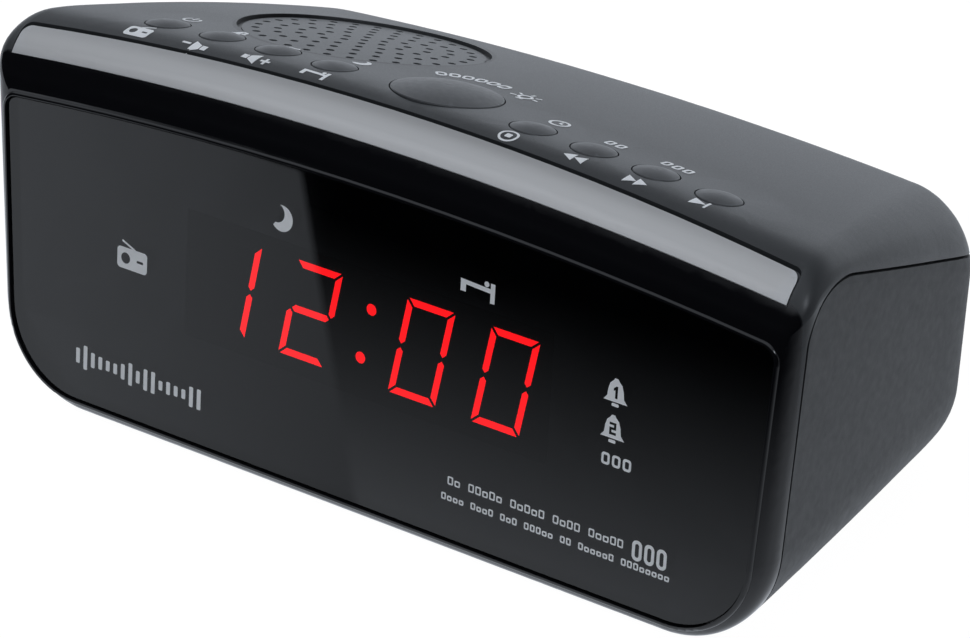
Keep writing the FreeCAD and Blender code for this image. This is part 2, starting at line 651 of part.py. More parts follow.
def rear_cabinet(outer, thin, inner, tongue_outer):
    body = outer.cut(inner).cut(seam_region(SEAM_GAP))
    lip_zone = seam_region(SEAM_GAP + 1.5).cut(seam_region(-LIP_REACH)).common(behind_front(WALL + 0.4))
    bay_x = BATTERY_X + BAY_WALL
    bay_y = BATTERY_Y + BAY_WALL
    bosses = [box(-bay_x, bay_x, -bay_y, bay_y, 0, BATTERY_TOP + BAY_WALL)]
    bosses += [cylinder(3.0, 0, MAIN_BOARD_Z, x, y) for x, y in MAIN_SCREWS]
    bosses += [cylinder(5.0, 0, POST_END_Z - 0.1, x, y) for x, y in BACK_FIXINGS]
    feet_x = (TRANSFORMER_X - FOOT_REACH, TRANSFORMER_X + FOOT_REACH)
    bosses += [cylinder(3.5, 0, TRANSFORMER_BASE, x, TRANSFORMER_Y) for x in feet_x]
    body = body.fuse([tongue_outer.cut(inner).common(lip_zone)] + [b.common(thin) for b in bosses])
    body = body.removeSplitter()
    cuts = [box(-BATTERY_X, BATTERY_X, -BATTERY_Y, BATTERY_Y, -2, BATTERY_TOP),
            pivot_pins(PIN_RADIUS + 0.05, 0.9)]
    cuts += [cylinder(SMALL_SCREW_RADIUS, MAIN_HOLE_BASE, 40, x, y) for x, y in MAIN_SCREWS]
    cuts += [cylinder(SMALL_SCREW_RADIUS, TRANSFORMER_HOLE_BASE, 20, x, TRANSFORMER_Y) for x in feet_x]
    for x, y in FRONT_FIXINGS:
        cuts.append(cylinder(SCREW_RADIUS + 0.3, -1, 6, x, y))
        cuts.append(cylinder(SCREW_HEAD_RADIUS + 0.3, -1, FRONT_HEAD_SEAT, x, y))
        cuts.append(box(x - 5.3, x + 5.3, FRONT_Y, y, FLOOR_TOP, LUG_TOP))
    for x, y in BACK_FIXINGS:
        cuts.append(cylinder(SCREW_RADIUS + 0.3, -1, 20, x, y))
        cuts.append(cylinder(SCREW_HEAD_RADIUS + 0.3, -1, BACK_HEAD_SEAT, x, y))
    cuts += [cylinder(FOOT_RADIUS + 0.1, -1, FOOT_TOP, x, y) for x, y in FEET]
    cuts.append(along_y(GLAND_RADIUS, DEPTH / 2 - 8, DEPTH / 2 + 2, CORD_X, CORD_Z))
    cuts.append(along_y(AERIAL_RADIUS + 0.1, DEPTH / 2 - 8, DEPTH / 2 + 2, AERIAL_X, AERIAL_Z))
    for cutter in cuts:
        body = body.cut(cutter)
    return body


# ---------------------------------------------------------------- display
def segment_shapes(left):
    """The seven bars of one digit, keyed a-g, drawn on the front face."""
    lean = math.tan(math.radians(DIGIT_SLANT))
    w = SEGMENT_WIDTH
    half = DIGIT_HEIGHT / 2
    right_x = DIGIT_WIDTH - w
    gap = SEGMENT_SPACE

    def bar(points):
        corners = [vec(left + x + lean * s, DIGIT_BASE + s, 0) for x, s in points]
        outline = Part.makePolygon(corners + [corners[0]])
        return extruded(outline, HOUSING_FRONT - SEGMENT_DEPTH, HOUSING_FRONT)

    def level(s):
        return bar([(gap, s), (gap + w, s + w), (DIGIT_WIDTH - gap - w, s + w), (DIGIT_WIDTH - gap, s),
                    (DIGIT_WIDTH - gap - w, s - w), (gap + w, s - w)])

    def upright(x, low, high):
        return bar([(x, low + gap + w), (x + w / 2, low + gap), (x + w, low + gap + w),
                    (x + w, high - gap - w), (x + w / 2, high - gap), (x, high - gap - w)])

    outer_bar = [(gap, 0), (DIGIT_WIDTH - gap, 0), (DIGIT_WIDTH - gap - w, w), (gap + w, w)]
    top_bar = [(x, DIGIT_HEIGHT - s) for x, s in outer_bar]
    middle = bar([(gap + w / 2, half), (gap + w, half + w / 2), (DIGIT_WIDTH - gap - w, half + w / 2),
                  (DIGIT_WIDTH - gap - w / 2, half), (DIGIT_WIDTH - gap - w, half - w / 2),
                  (gap + w, half - w / 2)])

    def side(x, outward, low, high, low_is_end):
        out_x = x + (w if outward > 0 else 0)
        in_x = x + (0 if outward > 0 else w)
        if low_is_end:
            return bar([(out_x, low + gap), (out_x, high - gap - w / 2), (x + w / 2, high - gap),
                        (in_x, high - gap - w / 2), (in_x, low + gap + w)])
        return bar([(out_x, high - gap), (out_x, low + gap + w / 2), (x + w / 2, low + gap),
                    (in_x, low + gap + w / 2), (in_x, high - gap - w)])

    return {
        "a": bar(top_bar), "d": bar(outer_bar), "g": middle,
        "b": side(right_x, 1, half, DIGIT_HEIGHT, False), "c": side(right_x, 1, 0, half, True),
        "f": side(0, -1, half, DIGIT_HEIGHT, False), "e": side(0, -1, 0, half, True),
    }


def all_segments():
    """Lit and dark bars of the whole display; the two dots of the colon are lit."""
    back = HOUSING_FRONT - SEGMENT_DEPTH
    lit = [cylinder(COLON_RADIUS, back, HOUSING_FRONT, x, s) for x, s in COLON_POINTS]
    dark = []
    for left, shown in zip(DIGIT_LEFTS, SHOWN_TIME):
        for name, shape in segment_shapes(left).items():
            (lit if name in shown else dark).append(shape)
    return lit, dark


def display_housing(segments):
    left, right, low, high = HOUSING
    block = box(left, right, low, high, HOUSING_BACK, HOUSING_FRONT)
    hollow = box(left + 1.2, right - 1.2, low + 1.2, high - 1.2, HOUSING_BACK - 1, HOUSING_FRONT - 3.5)
    return on_front(block.cut(hollow).cut(group(segments)))


def display_board():
    left, right, low, high = DISPLAY_BOARD
    board = box(left, right, low, high, DISPLAY_BOARD_FRONT - BOARD, DISPLAY_BOARD_FRONT)
    for x, s in DISPLAY_SCREWS:
        board = board.cut(cylinder(SMALL_SCREW_RADIUS, -20, 0, x, s))
    return on_front(board)


def indicator_lamps():
    lamps = []
    for x, s in LAMP_POINTS:
        tip = LAMP_TOP - LAMP_RADIUS
        lamp = cylinder(LAMP_RADIUS, DISPLAY_BOARD_FRONT, tip, x, s)
        dome = Part.makeSphere(LAMP_RADIUS, vec(x, s, tip), vec(0, 0, 1), 0, 90, 360)
        lamps.append(on_front(lamp.fuse(dome).removeSplitter()))
    return lamps


# ---------------------------------------------------------------- loudspeaker
def speaker_frame():
    wall = 1.0
    mouth = CONE_RADIUS + 0.2
    flange_back = SPEAKER_SEAT - SPEAKER_FLANGE
    basket = turned([(mouth, SPEAKER_SEAT), (SPEAKER_RADIUS, SPEAKER_SEAT), (SPEAKER_RADIUS, flange_back),
                     (mouth + wall + 0.4, flange_back), (MAGNET_RADIUS + 1.5, MAGNET_TOP + wall),
                     (MAGNET_RADIUS + 1.5, MAGNET_TOP), (VOICE_COIL[1] + 1.2, MAGNET_TOP),
                     (VOICE_COIL[1] + 1.2, MAGNET_TOP + wall), (MAGNET_RADIUS + 0.5, MAGNET_TOP + wall),
                     (mouth, flange_back - 1.0)])
    window = box(0, SPEAKER_RADIUS, -4.5, 4.5, MAGNET_TOP + 2 * wall, flange_back - 2 * wall)
    windows = []
    for i in range(6):
        turned_window = window.copy()
        turned_window.rotate(vec(0, 0, 0), UP, 60.0 * i)
        windows.append(turned_window)
    basket = basket.cut(group(windows))
    ears = []
    for (x, y), angle in zip(speaker_screw_points(), SPEAKER_SCREW_ANGLES):
        arm = box(mouth + 1, SPEAKER_SCREW_RADIUS, -SPEAKER_EAR, SPEAKER_EAR, flange_back, SPEAKER_SEAT)
        arm.rotate(vec(0, 0, 0), UP, angle)
        ears += [arm, cylinder(SPEAKER_EAR, flange_back, SPEAKER_SEAT, x, y)]
    frame_shape = basket.fuse(ears).removeSplitter()
    for x, y in speaker_screw_points():
        frame_shape = frame_shape.cut(cylinder(SMALL_SCREW_RADIUS, -20, 0, x, y))
    return placed(frame_shape, top_frame(GRILLE_X, GRILLE_Y))


def speaker_magnet():
    inside, outside = VOICE_COIL
    low = MAGNET_TOP - MAGNET_HEIGHT
    slot = cylinder(outside + 0.2, low + 2, 0).cut(cylinder(inside - 0.2, low - 1, 1))
    magnet = cylinder(MAGNET_RADIUS, low, MAGNET_TOP).cut(slot)
    return placed(magnet, top_frame(GRILLE_X, GRILLE_Y))


def speaker_cone():
    """Paper cone with its dust cap and coil former; it moves in and out along the axis."""
    inside, outside = VOICE_COIL
    rim = SPEAKER_SEAT - 1.3
    neck = MAGNET_TOP + 4.0
    thick = 0.5
    cone = turned([(0, neck + 2.6), (inside, neck + 1.2), (inside + 0.8, neck + 1.0),
                   (CONE_RADIUS - 2.5, rim), (CONE_RADIUS, rim), (CONE_RADIUS, rim - thick),
                   (CONE_RADIUS - 2.5, rim - thick),
                   (outside, neck), (outside, MAGNET_TOP - 3), (inside, MAGNET_TOP - 3), (inside, neck),
                   (0, neck + 2.6 - 1.4)])
    return placed(cone, top_frame(GRILLE_X, GRILLE_Y))


# ---------------------------------------------------------------- main board and power supply
def main_board():
    x0, x1, y0, y1 = MAIN_BOARD
    board = box(x0, x1, y0, y1, MAIN_BOARD_Z, MAIN_BOARD_Z + BOARD)
    for x, y in MAIN_SCREWS:
        board = board.cut(cylinder(SMALL_SCREW_RADIUS, 0, 60, x, y))
    return board


def board_part(x, y, length, width, height):
    top = MAIN_BOARD_Z + BOARD
    return box(x - length / 2, x + length / 2, y - width / 2, y + width / 2, top, top + height)


def tuner_shield():
    can = board_part(*TUNER_SHIELD)
    return can.makeFillet(1.0, [e for e in can.Edges if e.BoundBox.ZLength > 5])


def capacitors():
    top = MAIN_BOARD_Z + BOARD
    cans = []
    for x, y, radius, height in CAPACITORS:
        can = cylinder(radius, top, top + height, x, y)
        cans.append(can.makeFillet(0.4, [e for e in can.Edges if e.BoundBox.ZMin > top + 1]))
    return cans


def transformer_core():
    half_x, half_y = CORE_HALF
    x, y, z = TRANSFORMER_X, TRANSFORMER_Y, TRANSFORMER_BASE
    core = box(x - half_x, x + half_x, y - half_y, y + half_y, z, z + CORE_HEIGHT)
    leg = half_x / 3
    for side in (-1, 1):
        middle = x + side * (half_x + leg) / 2 - side * leg / 4
        window = box(middle - leg / 2 - 0.6, middle + leg / 2 + 0.6, y - 20, y + 20,
                     z + leg, z + CORE_HEIGHT - leg)
        core = core.cut(window)
    return core


def transformer_coil():
    half_x, half_y = CORE_HALF
    x, y, z = TRANSFORMER_X, TRANSFORMER_Y, TRANSFORMER_BASE
    leg = half_x / 3
    middle = (half_x + leg) / 2 - leg / 4
    reach_x = middle + leg / 2 + 0.5
    inside_x = middle - leg / 2 - 0.6
    low = z + leg + 0.1
    high = z + CORE_HEIGHT - leg - 0.1
    coil = box(x - reach_x, x + reach_x, y - half_y - 6, y + half_y + 6, low, high)
    upright = [e for e in coil.Edges if e.BoundBox.ZLength > 5]
    coil = coil.makeFillet(1.5, upright)
    return coil.cut(box(x - inside_x, x + inside_x, y - half_y, y + half_y, low - 1, high + 1))


def transformer_bracket():
    half_x, half_y = CORE_HALF
    x, y, z = TRANSFORMER_X, TRANSFORMER_Y, TRANSFORMER_BASE
    strap = 1.0
    half = half_y - 2.5
    top = z + CORE_HEIGHT
    over = box(x - half_x - strap, x + half_x + strap, y - half, y + half, z, top + strap)
    over = over.cut(box(x - half_x, x + half_x, y - 20, y + 20, z - 1, top))
    feet = []
    for side in (-1, 1):
        near = x + side * half_x
        far = x + side * (FOOT_REACH + 3)
        foot = box(min(near, far), max(near, far), y - half, y + half, z, z + strap)
        feet.append(foot.cut(cylinder(SMALL_SCREW_RADIUS, 0, 20, x + side * FOOT_REACH, y)))
    return over.fuse(feet).removeSplitter()


# ---------------------------------------------------------------- battery bay
def along_y(radius, y0, y1, x, z):
    return Part.makeCylinder(radius, y1 - y0, vec(x, y0, z), vec(0, 1, 0))


def along_x(radius, x0, x1, y, z):
    return Part.makeCylinder(radius, x1 - x0, vec(x0, y, z), X_AXIS)


def pivot_pins(radius, extra):
    """The door's two pivot pins, or the holes for them."""
    half = BATTERY_X + extra
    return along_x(radius, -half, half, PIVOT_Y, PIVOT_Z)


def battery_door():
    half = BATTERY_X - DOOR_GAP
    near = PIVOT_Y
    far = BATTERY_Y - DOOR_GAP
    plate = box(-half, half, near, far, STANDOFF, STANDOFF + DOOR_THICKNESS)
    door = plate.fuse([along_x(DOOR_THICKNESS / 2, -half, half, PIVOT_Y, PIVOT_Z),
                       pivot_pins(PIN_RADIUS, 0.7)])
    door = door.removeSplitter()
    for i in range(4):
        y = far - 2.5 - 1.6 * i
        door = door.cut(box(-8, 8, y - 0.4, y + 0.4, STANDOFF - 1, STANDOFF + 0.4))
    return door


def battery_cell(y, direction):
    half = CELL_LENGTH / 2
    body = along_x(CELL_RADIUS, -half + 1, half - 1, y, CELL_Z)
    edges = [e for e in body.Edges if e.BoundBox.XLength < 0.01]
    body = body.makeFillet(0.5, edges)
    nub = along_x(1.9, half - 2, half, y, CELL_Z)
    cell = body.fuse(nub).removeSplitter()
    if direction < 0:
        cell.rotate(vec(0, y, CELL_Z), UP, 180)
    return cell


def battery_contacts():
    """Flat contact at each plus end, bowed leaf spring at each minus end."""
    contacts = []
    for y, direction in CELL_ROWS:
        flat_x = CELL_LENGTH / 2 + 0.05
        flat = box(flat_x, BATTERY_X, y - 2, y + 2, CELL_Z - 4, CELL_Z + 4)
        tip = CELL_LENGTH / 2 - 1 + 0.05
        sheet = 0.4
        outline = [(BATTERY_X, 4), (BATTERY_X - sheet, 4), (tip, 0), (BATTERY_X - sheet, -4), (BATTERY_X, -4),
                   (BATTERY_X, -4 + sheet), (tip + sheet, 0), (BATTERY_X, 4 - sheet)]
        corners = [vec(x, y - 2, CELL_Z + z) for x, z in outline]
        leaf = Part.Face(Part.makePolygon(corners + [corners[0]])).extrude(vec(0, 4, 0))
        turned_end = flat if direction < 0 else leaf
        turned_end.rotate(vec(0, y, CELL_Z), UP, 180)
        contacts += [flat, leaf]
    return contacts


# ---------------------------------------------------------------- cords, cables and fasteners
def mains_cord():
    return along_y(CORD_RADIUS, DEPTH / 2 - 28, DEPTH / 2 + CORD_STUB, CORD_X, CORD_Z)


def strain_relief():
    back = DEPTH / 2
    grommet = along_y(GLAND_RADIUS, back - WALL, back, CORD_X, CORD_Z)
    collar = along_y(GLAND_RADIUS + 1.8, back - WALL - 1.6, back - WALL, CORD_X, CORD_Z)
    boot = Part.makeCone(GLAND_RADIUS + 1.0, CORD_RADIUS + 0.9, 9.0, vec(CORD_X, back, CORD_Z), vec(0, 1, 0))
    body = grommet.fuse([collar, boot]).removeSplitter()
    for i in range(3):
        y = back + 2.0 + 2.4 * i
        core = along_y(CORD_RADIUS + 0.8, y - 1, y + 2, CORD_X, CORD_Z)
        groove = along_y(20, y, y + 0.8, CORD_X, CORD_Z).cut(core)
        body = body.cut(groove)
    return body.cut(along_y(CORD_RADIUS, 0, 80, CORD_X, CORD_Z))


def fm_antenna_wire():
    inside = vec(AERIAL_X, DEPTH / 2 - 14, AERIAL_Z)
    wall = vec(AERIAL_X, DEPTH / 2 + 1, AERIAL_Z)
    straight = along_y(AERIAL_RADIUS, inside.y, wall.y, AERIAL_X, AERIAL_Z)
    drop = [wall, wall + vec(0, 4, -0.8), wall + vec(2, 8.5, -4.5), wall + vec(8, 11.5, -9)]
    tail = round_wire(drop, AERIAL_RADIUS)
    return straight.fuse(tail)


def key_ribbon():
    place = key_frame()
    leave = place.Rotation.multVec(vec(0, 0, -1))
    start = place.multVec(vec(6, 5, -KEY_BOARD_DEPTH - BOARD - CABLE_GAP))
    end = vec(start.x, -13, MAIN_BOARD_Z + BOARD + CABLE_GAP)
    points = [start, start + leave * 3, vec(start.x, -13, 60), vec(start.x, -11, 44), end + vec(0, 0, 3), end]
    return flat_cable(points, 14.0, 0.5)


def display_ribbon():
    place = front_placement()
    leave = place.Rotation.multVec(vec(0, 0, -1))
    start = place.multVec(vec(-8, 38, DISPLAY_BOARD_FRONT - BOARD - CABLE_GAP))
    end = vec(start.x, -25, MAIN_BOARD_Z + BOARD + CABLE_GAP)
    return flat_cable([start, start + leave * 3, end + vec(0, -0.3, 6), end + vec(0, 0, 3), end], 18.0, 0.5)


def speaker_wires():
    wires = []
    place = top_frame(GRILLE_X, GRILLE_Y)
    leave = place.Rotation.multVec(vec(0, 0, -1))
    for side in (-2.5, 2.5):
        start = place.multVec(vec(side, MAGNET_RADIUS + 0.8, MAGNET_TOP - WIRE_GAP))
        end = vec(GRILLE_X + side, 24, MAIN_BOARD_Z + BOARD + CABLE_GAP)
        points = [start, start + leave * 3, vec(end.x, 25, 42), end + vec(0, 0, 3), end]
        wires.append(round_wire(points, 0.7))
    return wires


def screws(points, placement, reach, shank, head):
    """Screws whose heads seat at local z = 0 and whose shanks run up to reach."""
    made = []
    for x, y in points:
        body = cylinder(head, -HEAD_HEIGHT, 0, x, y).fuse(cylinder(shank, 0, reach, x, y))
        slot = cylinder(head * 0.45, -HEAD_HEIGHT - 1, -HEAD_HEIGHT + 0.5, x, y)
        made.append(placed(body.cut(slot), placement))
    return made


def raised(placement, height):
    return placement.multiply(FreeCAD.Placement(vec(0, 0, height), FreeCAD.Rotation()))


def facing_down(height):
    return FreeCAD.Placement(vec(0, 0, height), FreeCAD.Rotation(X_AXIS, 180))


def rubber_feet():
    feet = []
    for x, y in FEET:
        foot = cylinder(FOOT_RADIUS, 0, FOOT_TOP, x, y)
        feet.append(foot.makeFillet(0.3, [e for e in foot.Edges if e.BoundBox.ZMax < 0.01]))
    return feet


# ---------------------------------------------------------------- the assembly
def build():
    outer = cabinet_solid(0.0)
    thin = cabinet_solid(TRIM_THICKNESS)
    inner = cabinet_solid(WALL)
    nodes = {
        "front_top_cabinet": front_top_cabinet(outer, thin, inner, cabinet_solid(LIP_INSET - LIP_CLEARANCE),
                                               cabinet_solid(GRILLE_RECESS)),
        "rear_cabinet": rear_cabinet(outer, thin, inner, cabinet_solid(LIP_INSET)),
        "front_lens": front_lens(),
        "silver_trim_strip": trim_prism(0.0, 0.0, 0.0).common(outer.cut(thin)),
    }
    switches = []
    for name, x, y, radius, dome in button_list():
        u, v = switch_point(x, y)
        nodes[name] = button_solid(x, y, radius, dome)
        nodes[name.replace("button", "plunger")] = key_plunger(u, v)
        switches.append(key_switch_body(u, v))
    nodes["key_switch_bodies"] = group(switches)
    nodes["key_board"] = key_board()

    lit, dark = all_segments()
    nodes["display_housing"] = display_housing(lit + dark)
    nodes["lit_segments"] = group([on_front(s) for s in lit])
    nodes["dark_segments"] = group([on_front(s) for s in dark])
    nodes["display_board"] = display_board()
    nodes["indicator_lamps"] = group(indicator_lamps())

    nodes["speaker_frame"] = speaker_frame()
    nodes["speaker_magnet"] = speaker_magnet()
    nodes["speaker_cone"] = speaker_cone()

    nodes["main_board"] = main_board()
    nodes["main_board_chips"] = group([board_part(*c) for c in CHIPS])
    nodes["main_capacitors"] = group(capacitors())
    nodes["tuner_shield"] = tuner_shield()
    nodes["transformer_core"] = transformer_core()
    nodes["transformer_coil"] = transformer_coil()
    nodes["transformer_bracket"] = transformer_bracket()

    nodes["battery_door"] = battery_door()
    nodes["backup_batteries"] = group([battery_cell(*row) for row in CELL_ROWS])
    nodes["battery_contacts"] = group(battery_contacts())

    nodes["mains_cord"] = mains_cord()
    nodes["strain_relief"] = strain_relief()
    nodes["fm_antenna_wire"] = fm_antenna_wire()
    nodes["key_ribbon"] = key_ribbon()
    nodes["display_ribbon"] = display_ribbon()
    nodes["speaker_wires"] = group(speaker_wires())
    nodes["rubber_feet"] = group(rubber_feet())

    small = (SMALL_SCREW_RADIUS, SMALL_HEAD_RADIUS)
    large = (SCREW_RADIUS, SCREW_HEAD_RADIUS)
    speaker_seat = SPEAKER_SEAT - SPEAKER_FLANGE
    board_back = DISPLAY_BOARD_FRONT - BOARD
    key_back = -KEY_BOARD_DEPTH - BOARD
    front_seat = FreeCAD.Placement(vec(0, 0, FRONT_HEAD_SEAT), FreeCAD.Rotation())
    back_seat = FreeCAD.Placement(vec(0, 0, BACK_HEAD_SEAT), FreeCAD.Rotation())
    nodes["cabinet_screws"] = group(
        screws(FRONT_FIXINGS, front_seat, LUG_TOP - 1 - FRONT_HEAD_SEAT, *large)
        + screws(BACK_FIXINGS, back_seat, POST_HOLE_TOP - BACK_HEAD_SEAT, *large))
    nodes["speaker_screws"] = group(screws(
        speaker_screw_points(), raised(top_frame(GRILLE_X, GRILLE_Y), speaker_seat),
        SPEAKER_HOLE_TOP - speaker_seat, *small))
    nodes["key_board_screws"] = group(screws(
        KEY_SCREWS, raised(key_frame(), key_back), KEY_HOLE_TOP - key_back, *small))
    nodes["display_board_screws"] = group(screws(
        DISPLAY_SCREWS, raised(front_placement(), board_back), DISPLAY_HOLE_TOP - board_back, *small))
    main_top = MAIN_BOARD_Z + BOARD
    nodes["main_board_screws"] = group(screws(
        [(x, -y) for x, y in MAIN_SCREWS], facing_down(main_top), main_top - MAIN_HOLE_BASE, *small))
    foot_top = TRANSFORMER_BASE + 1.0
    nodes["transformer_screws"] = group(screws(
        [(TRANSFORMER_X + side * FOOT_REACH, -TRANSFORMER_Y) for side in (-1, 1)],
        facing_down(foot_top), foot_top - TRANSFORMER_HOLE_BASE, *small))
    return nodes


os.makedirs("parts", exist_ok=True)
for node, shape in build().items():
    shape.translate(vec(0, -ORIGIN_Y, 0))
    shape.exportStep(f"parts/{node}.step")
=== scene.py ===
import math
import random

import bmesh
import bpy
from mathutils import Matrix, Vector
from mathutils.bvhtree import BVHTree


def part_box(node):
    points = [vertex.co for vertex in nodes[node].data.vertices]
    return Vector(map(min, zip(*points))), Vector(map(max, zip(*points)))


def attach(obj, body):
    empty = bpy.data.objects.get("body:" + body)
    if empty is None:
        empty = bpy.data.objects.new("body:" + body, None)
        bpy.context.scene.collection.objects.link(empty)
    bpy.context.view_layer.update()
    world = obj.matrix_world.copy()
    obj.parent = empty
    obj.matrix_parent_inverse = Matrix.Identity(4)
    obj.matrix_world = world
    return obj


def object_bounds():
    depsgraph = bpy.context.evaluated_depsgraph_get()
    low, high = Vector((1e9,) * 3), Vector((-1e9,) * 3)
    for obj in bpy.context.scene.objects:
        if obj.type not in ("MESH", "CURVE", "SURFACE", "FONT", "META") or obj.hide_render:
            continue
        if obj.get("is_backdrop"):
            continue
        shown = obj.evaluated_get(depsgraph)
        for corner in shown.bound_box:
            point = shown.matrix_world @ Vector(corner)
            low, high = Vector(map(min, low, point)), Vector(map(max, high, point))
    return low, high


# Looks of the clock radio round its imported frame. Front at -Y, width along X, +Z up; metres,
# except where a name or comment says millimetres.
MM = 0.001
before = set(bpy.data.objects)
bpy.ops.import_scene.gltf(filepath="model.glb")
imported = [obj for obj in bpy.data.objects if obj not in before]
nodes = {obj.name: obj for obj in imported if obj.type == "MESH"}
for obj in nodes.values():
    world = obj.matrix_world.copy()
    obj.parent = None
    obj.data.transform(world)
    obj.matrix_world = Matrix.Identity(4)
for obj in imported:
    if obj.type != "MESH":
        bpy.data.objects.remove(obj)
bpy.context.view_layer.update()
rng = random.Random(7)

TOP_DARK = (0.027, 0.029, 0.031)
TOP_LIGHT = (0.033, 0.035, 0.037)
GLOSS_BLACK = (0.004, 0.004, 0.005)
REAR_BLACK = (0.027, 0.028, 0.029)
SILVER = (0.58, 0.57, 0.56)
TOP_PRINT = (0.95, 0.95, 0.95)
WINDOW_PRINT = (0.95, 0.95, 0.94)
SEGMENT_RED = (1.0, 0.006, 0.009)
STUDIO_TINT = (0.92, 0.98, 1.07)
# centre and radius of the painted shadow ring round the grille's rim
GRILLE_CENTRE = (-0.045, 0.0019, 0.0)
GRILLE_RADIUS = 0.0286
SPLIT_FROM_STRIP = 0.0046     # satin turns to gloss this far in front of the trim strip's back edge
SPLIT_BOW = 0.21              # that line bows back by this times x squared
STRIP_BOW = 0.12              # and the trim strip's painted shade and highlight by this
FLOOR_HALF_SIZE = 6.0
FLOOR_SEEN = 0.99             # the floor's brightness to the camera
FLOOR_MIRRORED = 0.86         # in reflections
FLOOR_SCATTER_CUT = 0.66      # and how much less of that lights the radio
CARD_REACH = 9.0              # the dark card runs past the edge of the floor
CARD_FADE = 0.165             # it closes fully this far in front of the radio
LEFT_FADE = 0.188             # and this far on the paler left part
CARD_SLOPE = 0.90             # run of the pale part's edge across the floor
SPOT_AIM = (0.64, -0.47, 0.61)
SPOT_STRENGTH = 10.0
EYE_MM = (561.7, -747.7, 498.2)
AIM_MM = (0.0, -9.47, 51.44)
LENS_MM = 175.62
LENS_SHIFT = (-0.0106, -0.0921)


# ------------------------------------------------------------------ node tree helpers
class Nodes:
    """A material's node tree, with short calls for the nodes these looks are made of."""

    def __init__(self, name):
        self.material = bpy.data.materials.new(name)
        self.material.use_nodes = True
        self.tree = self.material.node_tree
        self.tree.nodes.clear()
        self.output = self.tree.nodes.new("ShaderNodeOutputMaterial")
        self.coords = self.tree.nodes.new("ShaderNodeTexCoord").outputs["Object"]

    def put(self, socket, value):
        if isinstance(value, bpy.types.NodeSocket):
            self.tree.links.new(value, socket)
        elif isinstance(value, tuple) and socket.type == "RGBA" and len(value) == 3:
            socket.default_value = (*value, 1.0)
        else:
            socket.default_value = value

    def node(self, kind, **inputs):
        made = self.tree.nodes.new(kind)
        for key, value in inputs.items():
            self.put(made.inputs[key.replace("_", " ")], value)
        return made

    def math(self, operation, a, b=0.0):
        made = self.tree.nodes.new("ShaderNodeMath")
        made.operation = operation
        self.put(made.inputs[0], a)
        self.put(made.inputs[1], b)
        return made.outputs[0]

    def noise(self, size, detail=3.0, stretch=(1.0, 1.0, 1.0)):
        """Noise whose features are about `size` millimetres across."""
        scaled = self.node("ShaderNodeMapping", Vector=self.coords)
        scaled.inputs["Scale"].default_value = stretch
        made = self.node("ShaderNodeTexNoise", Vector=scaled.outputs[0], Scale=1.0 / (size * MM),
                         Detail=detail, Roughness=0.55)
        return made.outputs[0]

    def ramp(self, value, low, high, to_low=0.0, to_high=1.0):
        made = self.node("ShaderNodeMapRange", Value=value)
        limits = {"From Min": low, "From Max": high, "To Min": to_low, "To Max": to_high}
        for key, number in limits.items():
            made.inputs[key].default_value = number
        return made.outputs[0]

    def mix(self, factor, a, b):
        made = self.tree.nodes.new("ShaderNodeMix")
        made.data_type = "RGBA"
        self.put(made.inputs[0], factor)
        self.put(made.inputs[6], a)
        self.put(made.inputs[7], b)
        return made.outputs[2]

    def bump(self, height, depth_mm):
        made = self.node("ShaderNodeBump", Height=height, Distance=depth_mm * MM, Strength=1.0)
        return made.outputs[0]

    def wear(self):
        """1 on sharp outer edges, 0 elsewhere."""
        point = self.tree.nodes.new("ShaderNodeNewGeometry").outputs["Pointiness"]
        return self.ramp(point, 0.52, 0.62)

    def surface(self, shader):
        self.tree.links.new(shader, self.output.inputs["Surface"])

    def principled(self, **inputs):
        made = self.node("ShaderNodeBsdfPrincipled", **inputs)
        self.surface(made.outputs[0])
        return made


def plastic(name, color, rough, grain=0.35, depth=0.012, spec=0.5, drift=0.2):
    """Moulded plastic: fine grain, faint cloudiness in colour and gloss, paler worn edges."""
    n = Nodes(name)
    cloud = n.noise(18.0, detail=4.0)
    speck = n.noise(grain, detail=2.0)
    tone = n.mix(n.ramp(cloud, 0.35, 0.65), tuple(c * (1 - drift) for c in color),
                 tuple(c * (1 + drift) for c in color))
    tone = n.mix(n.math("MULTIPLY", n.wear(), 0.3), tone, tuple(min(1.0, c * 2.5 + 0.02) for c in color))
    gloss = n.ramp(n.noise(grain * 5, detail=3.0), 0.3, 0.7, rough - 0.04, rough + 0.04)
    n.principled(Base_Color=tone, Roughness=gloss, Specular_IOR_Level=spec, Normal=n.bump(speck, depth))
    return n.material


def metal(name, color, rough):
    """Plated steel with fine mottling."""
    n = Nodes(name)
    streak = n.noise(0.4, detail=4.0)
    tone = n.mix(n.noise(6.0), tuple(c * 0.82 for c in color), color)
    gloss = n.ramp(streak, 0.3, 0.7, rough - 0.06, rough + 0.08)
    n.principled(Base_Color=tone, Metallic=1.0, Roughness=gloss, Normal=n.bump(streak, 0.008))
    return n.material


def assign(material, *names):
    for name in names:
        mesh = nodes[name].data
        mesh.materials.clear()
        mesh.materials.append(material)


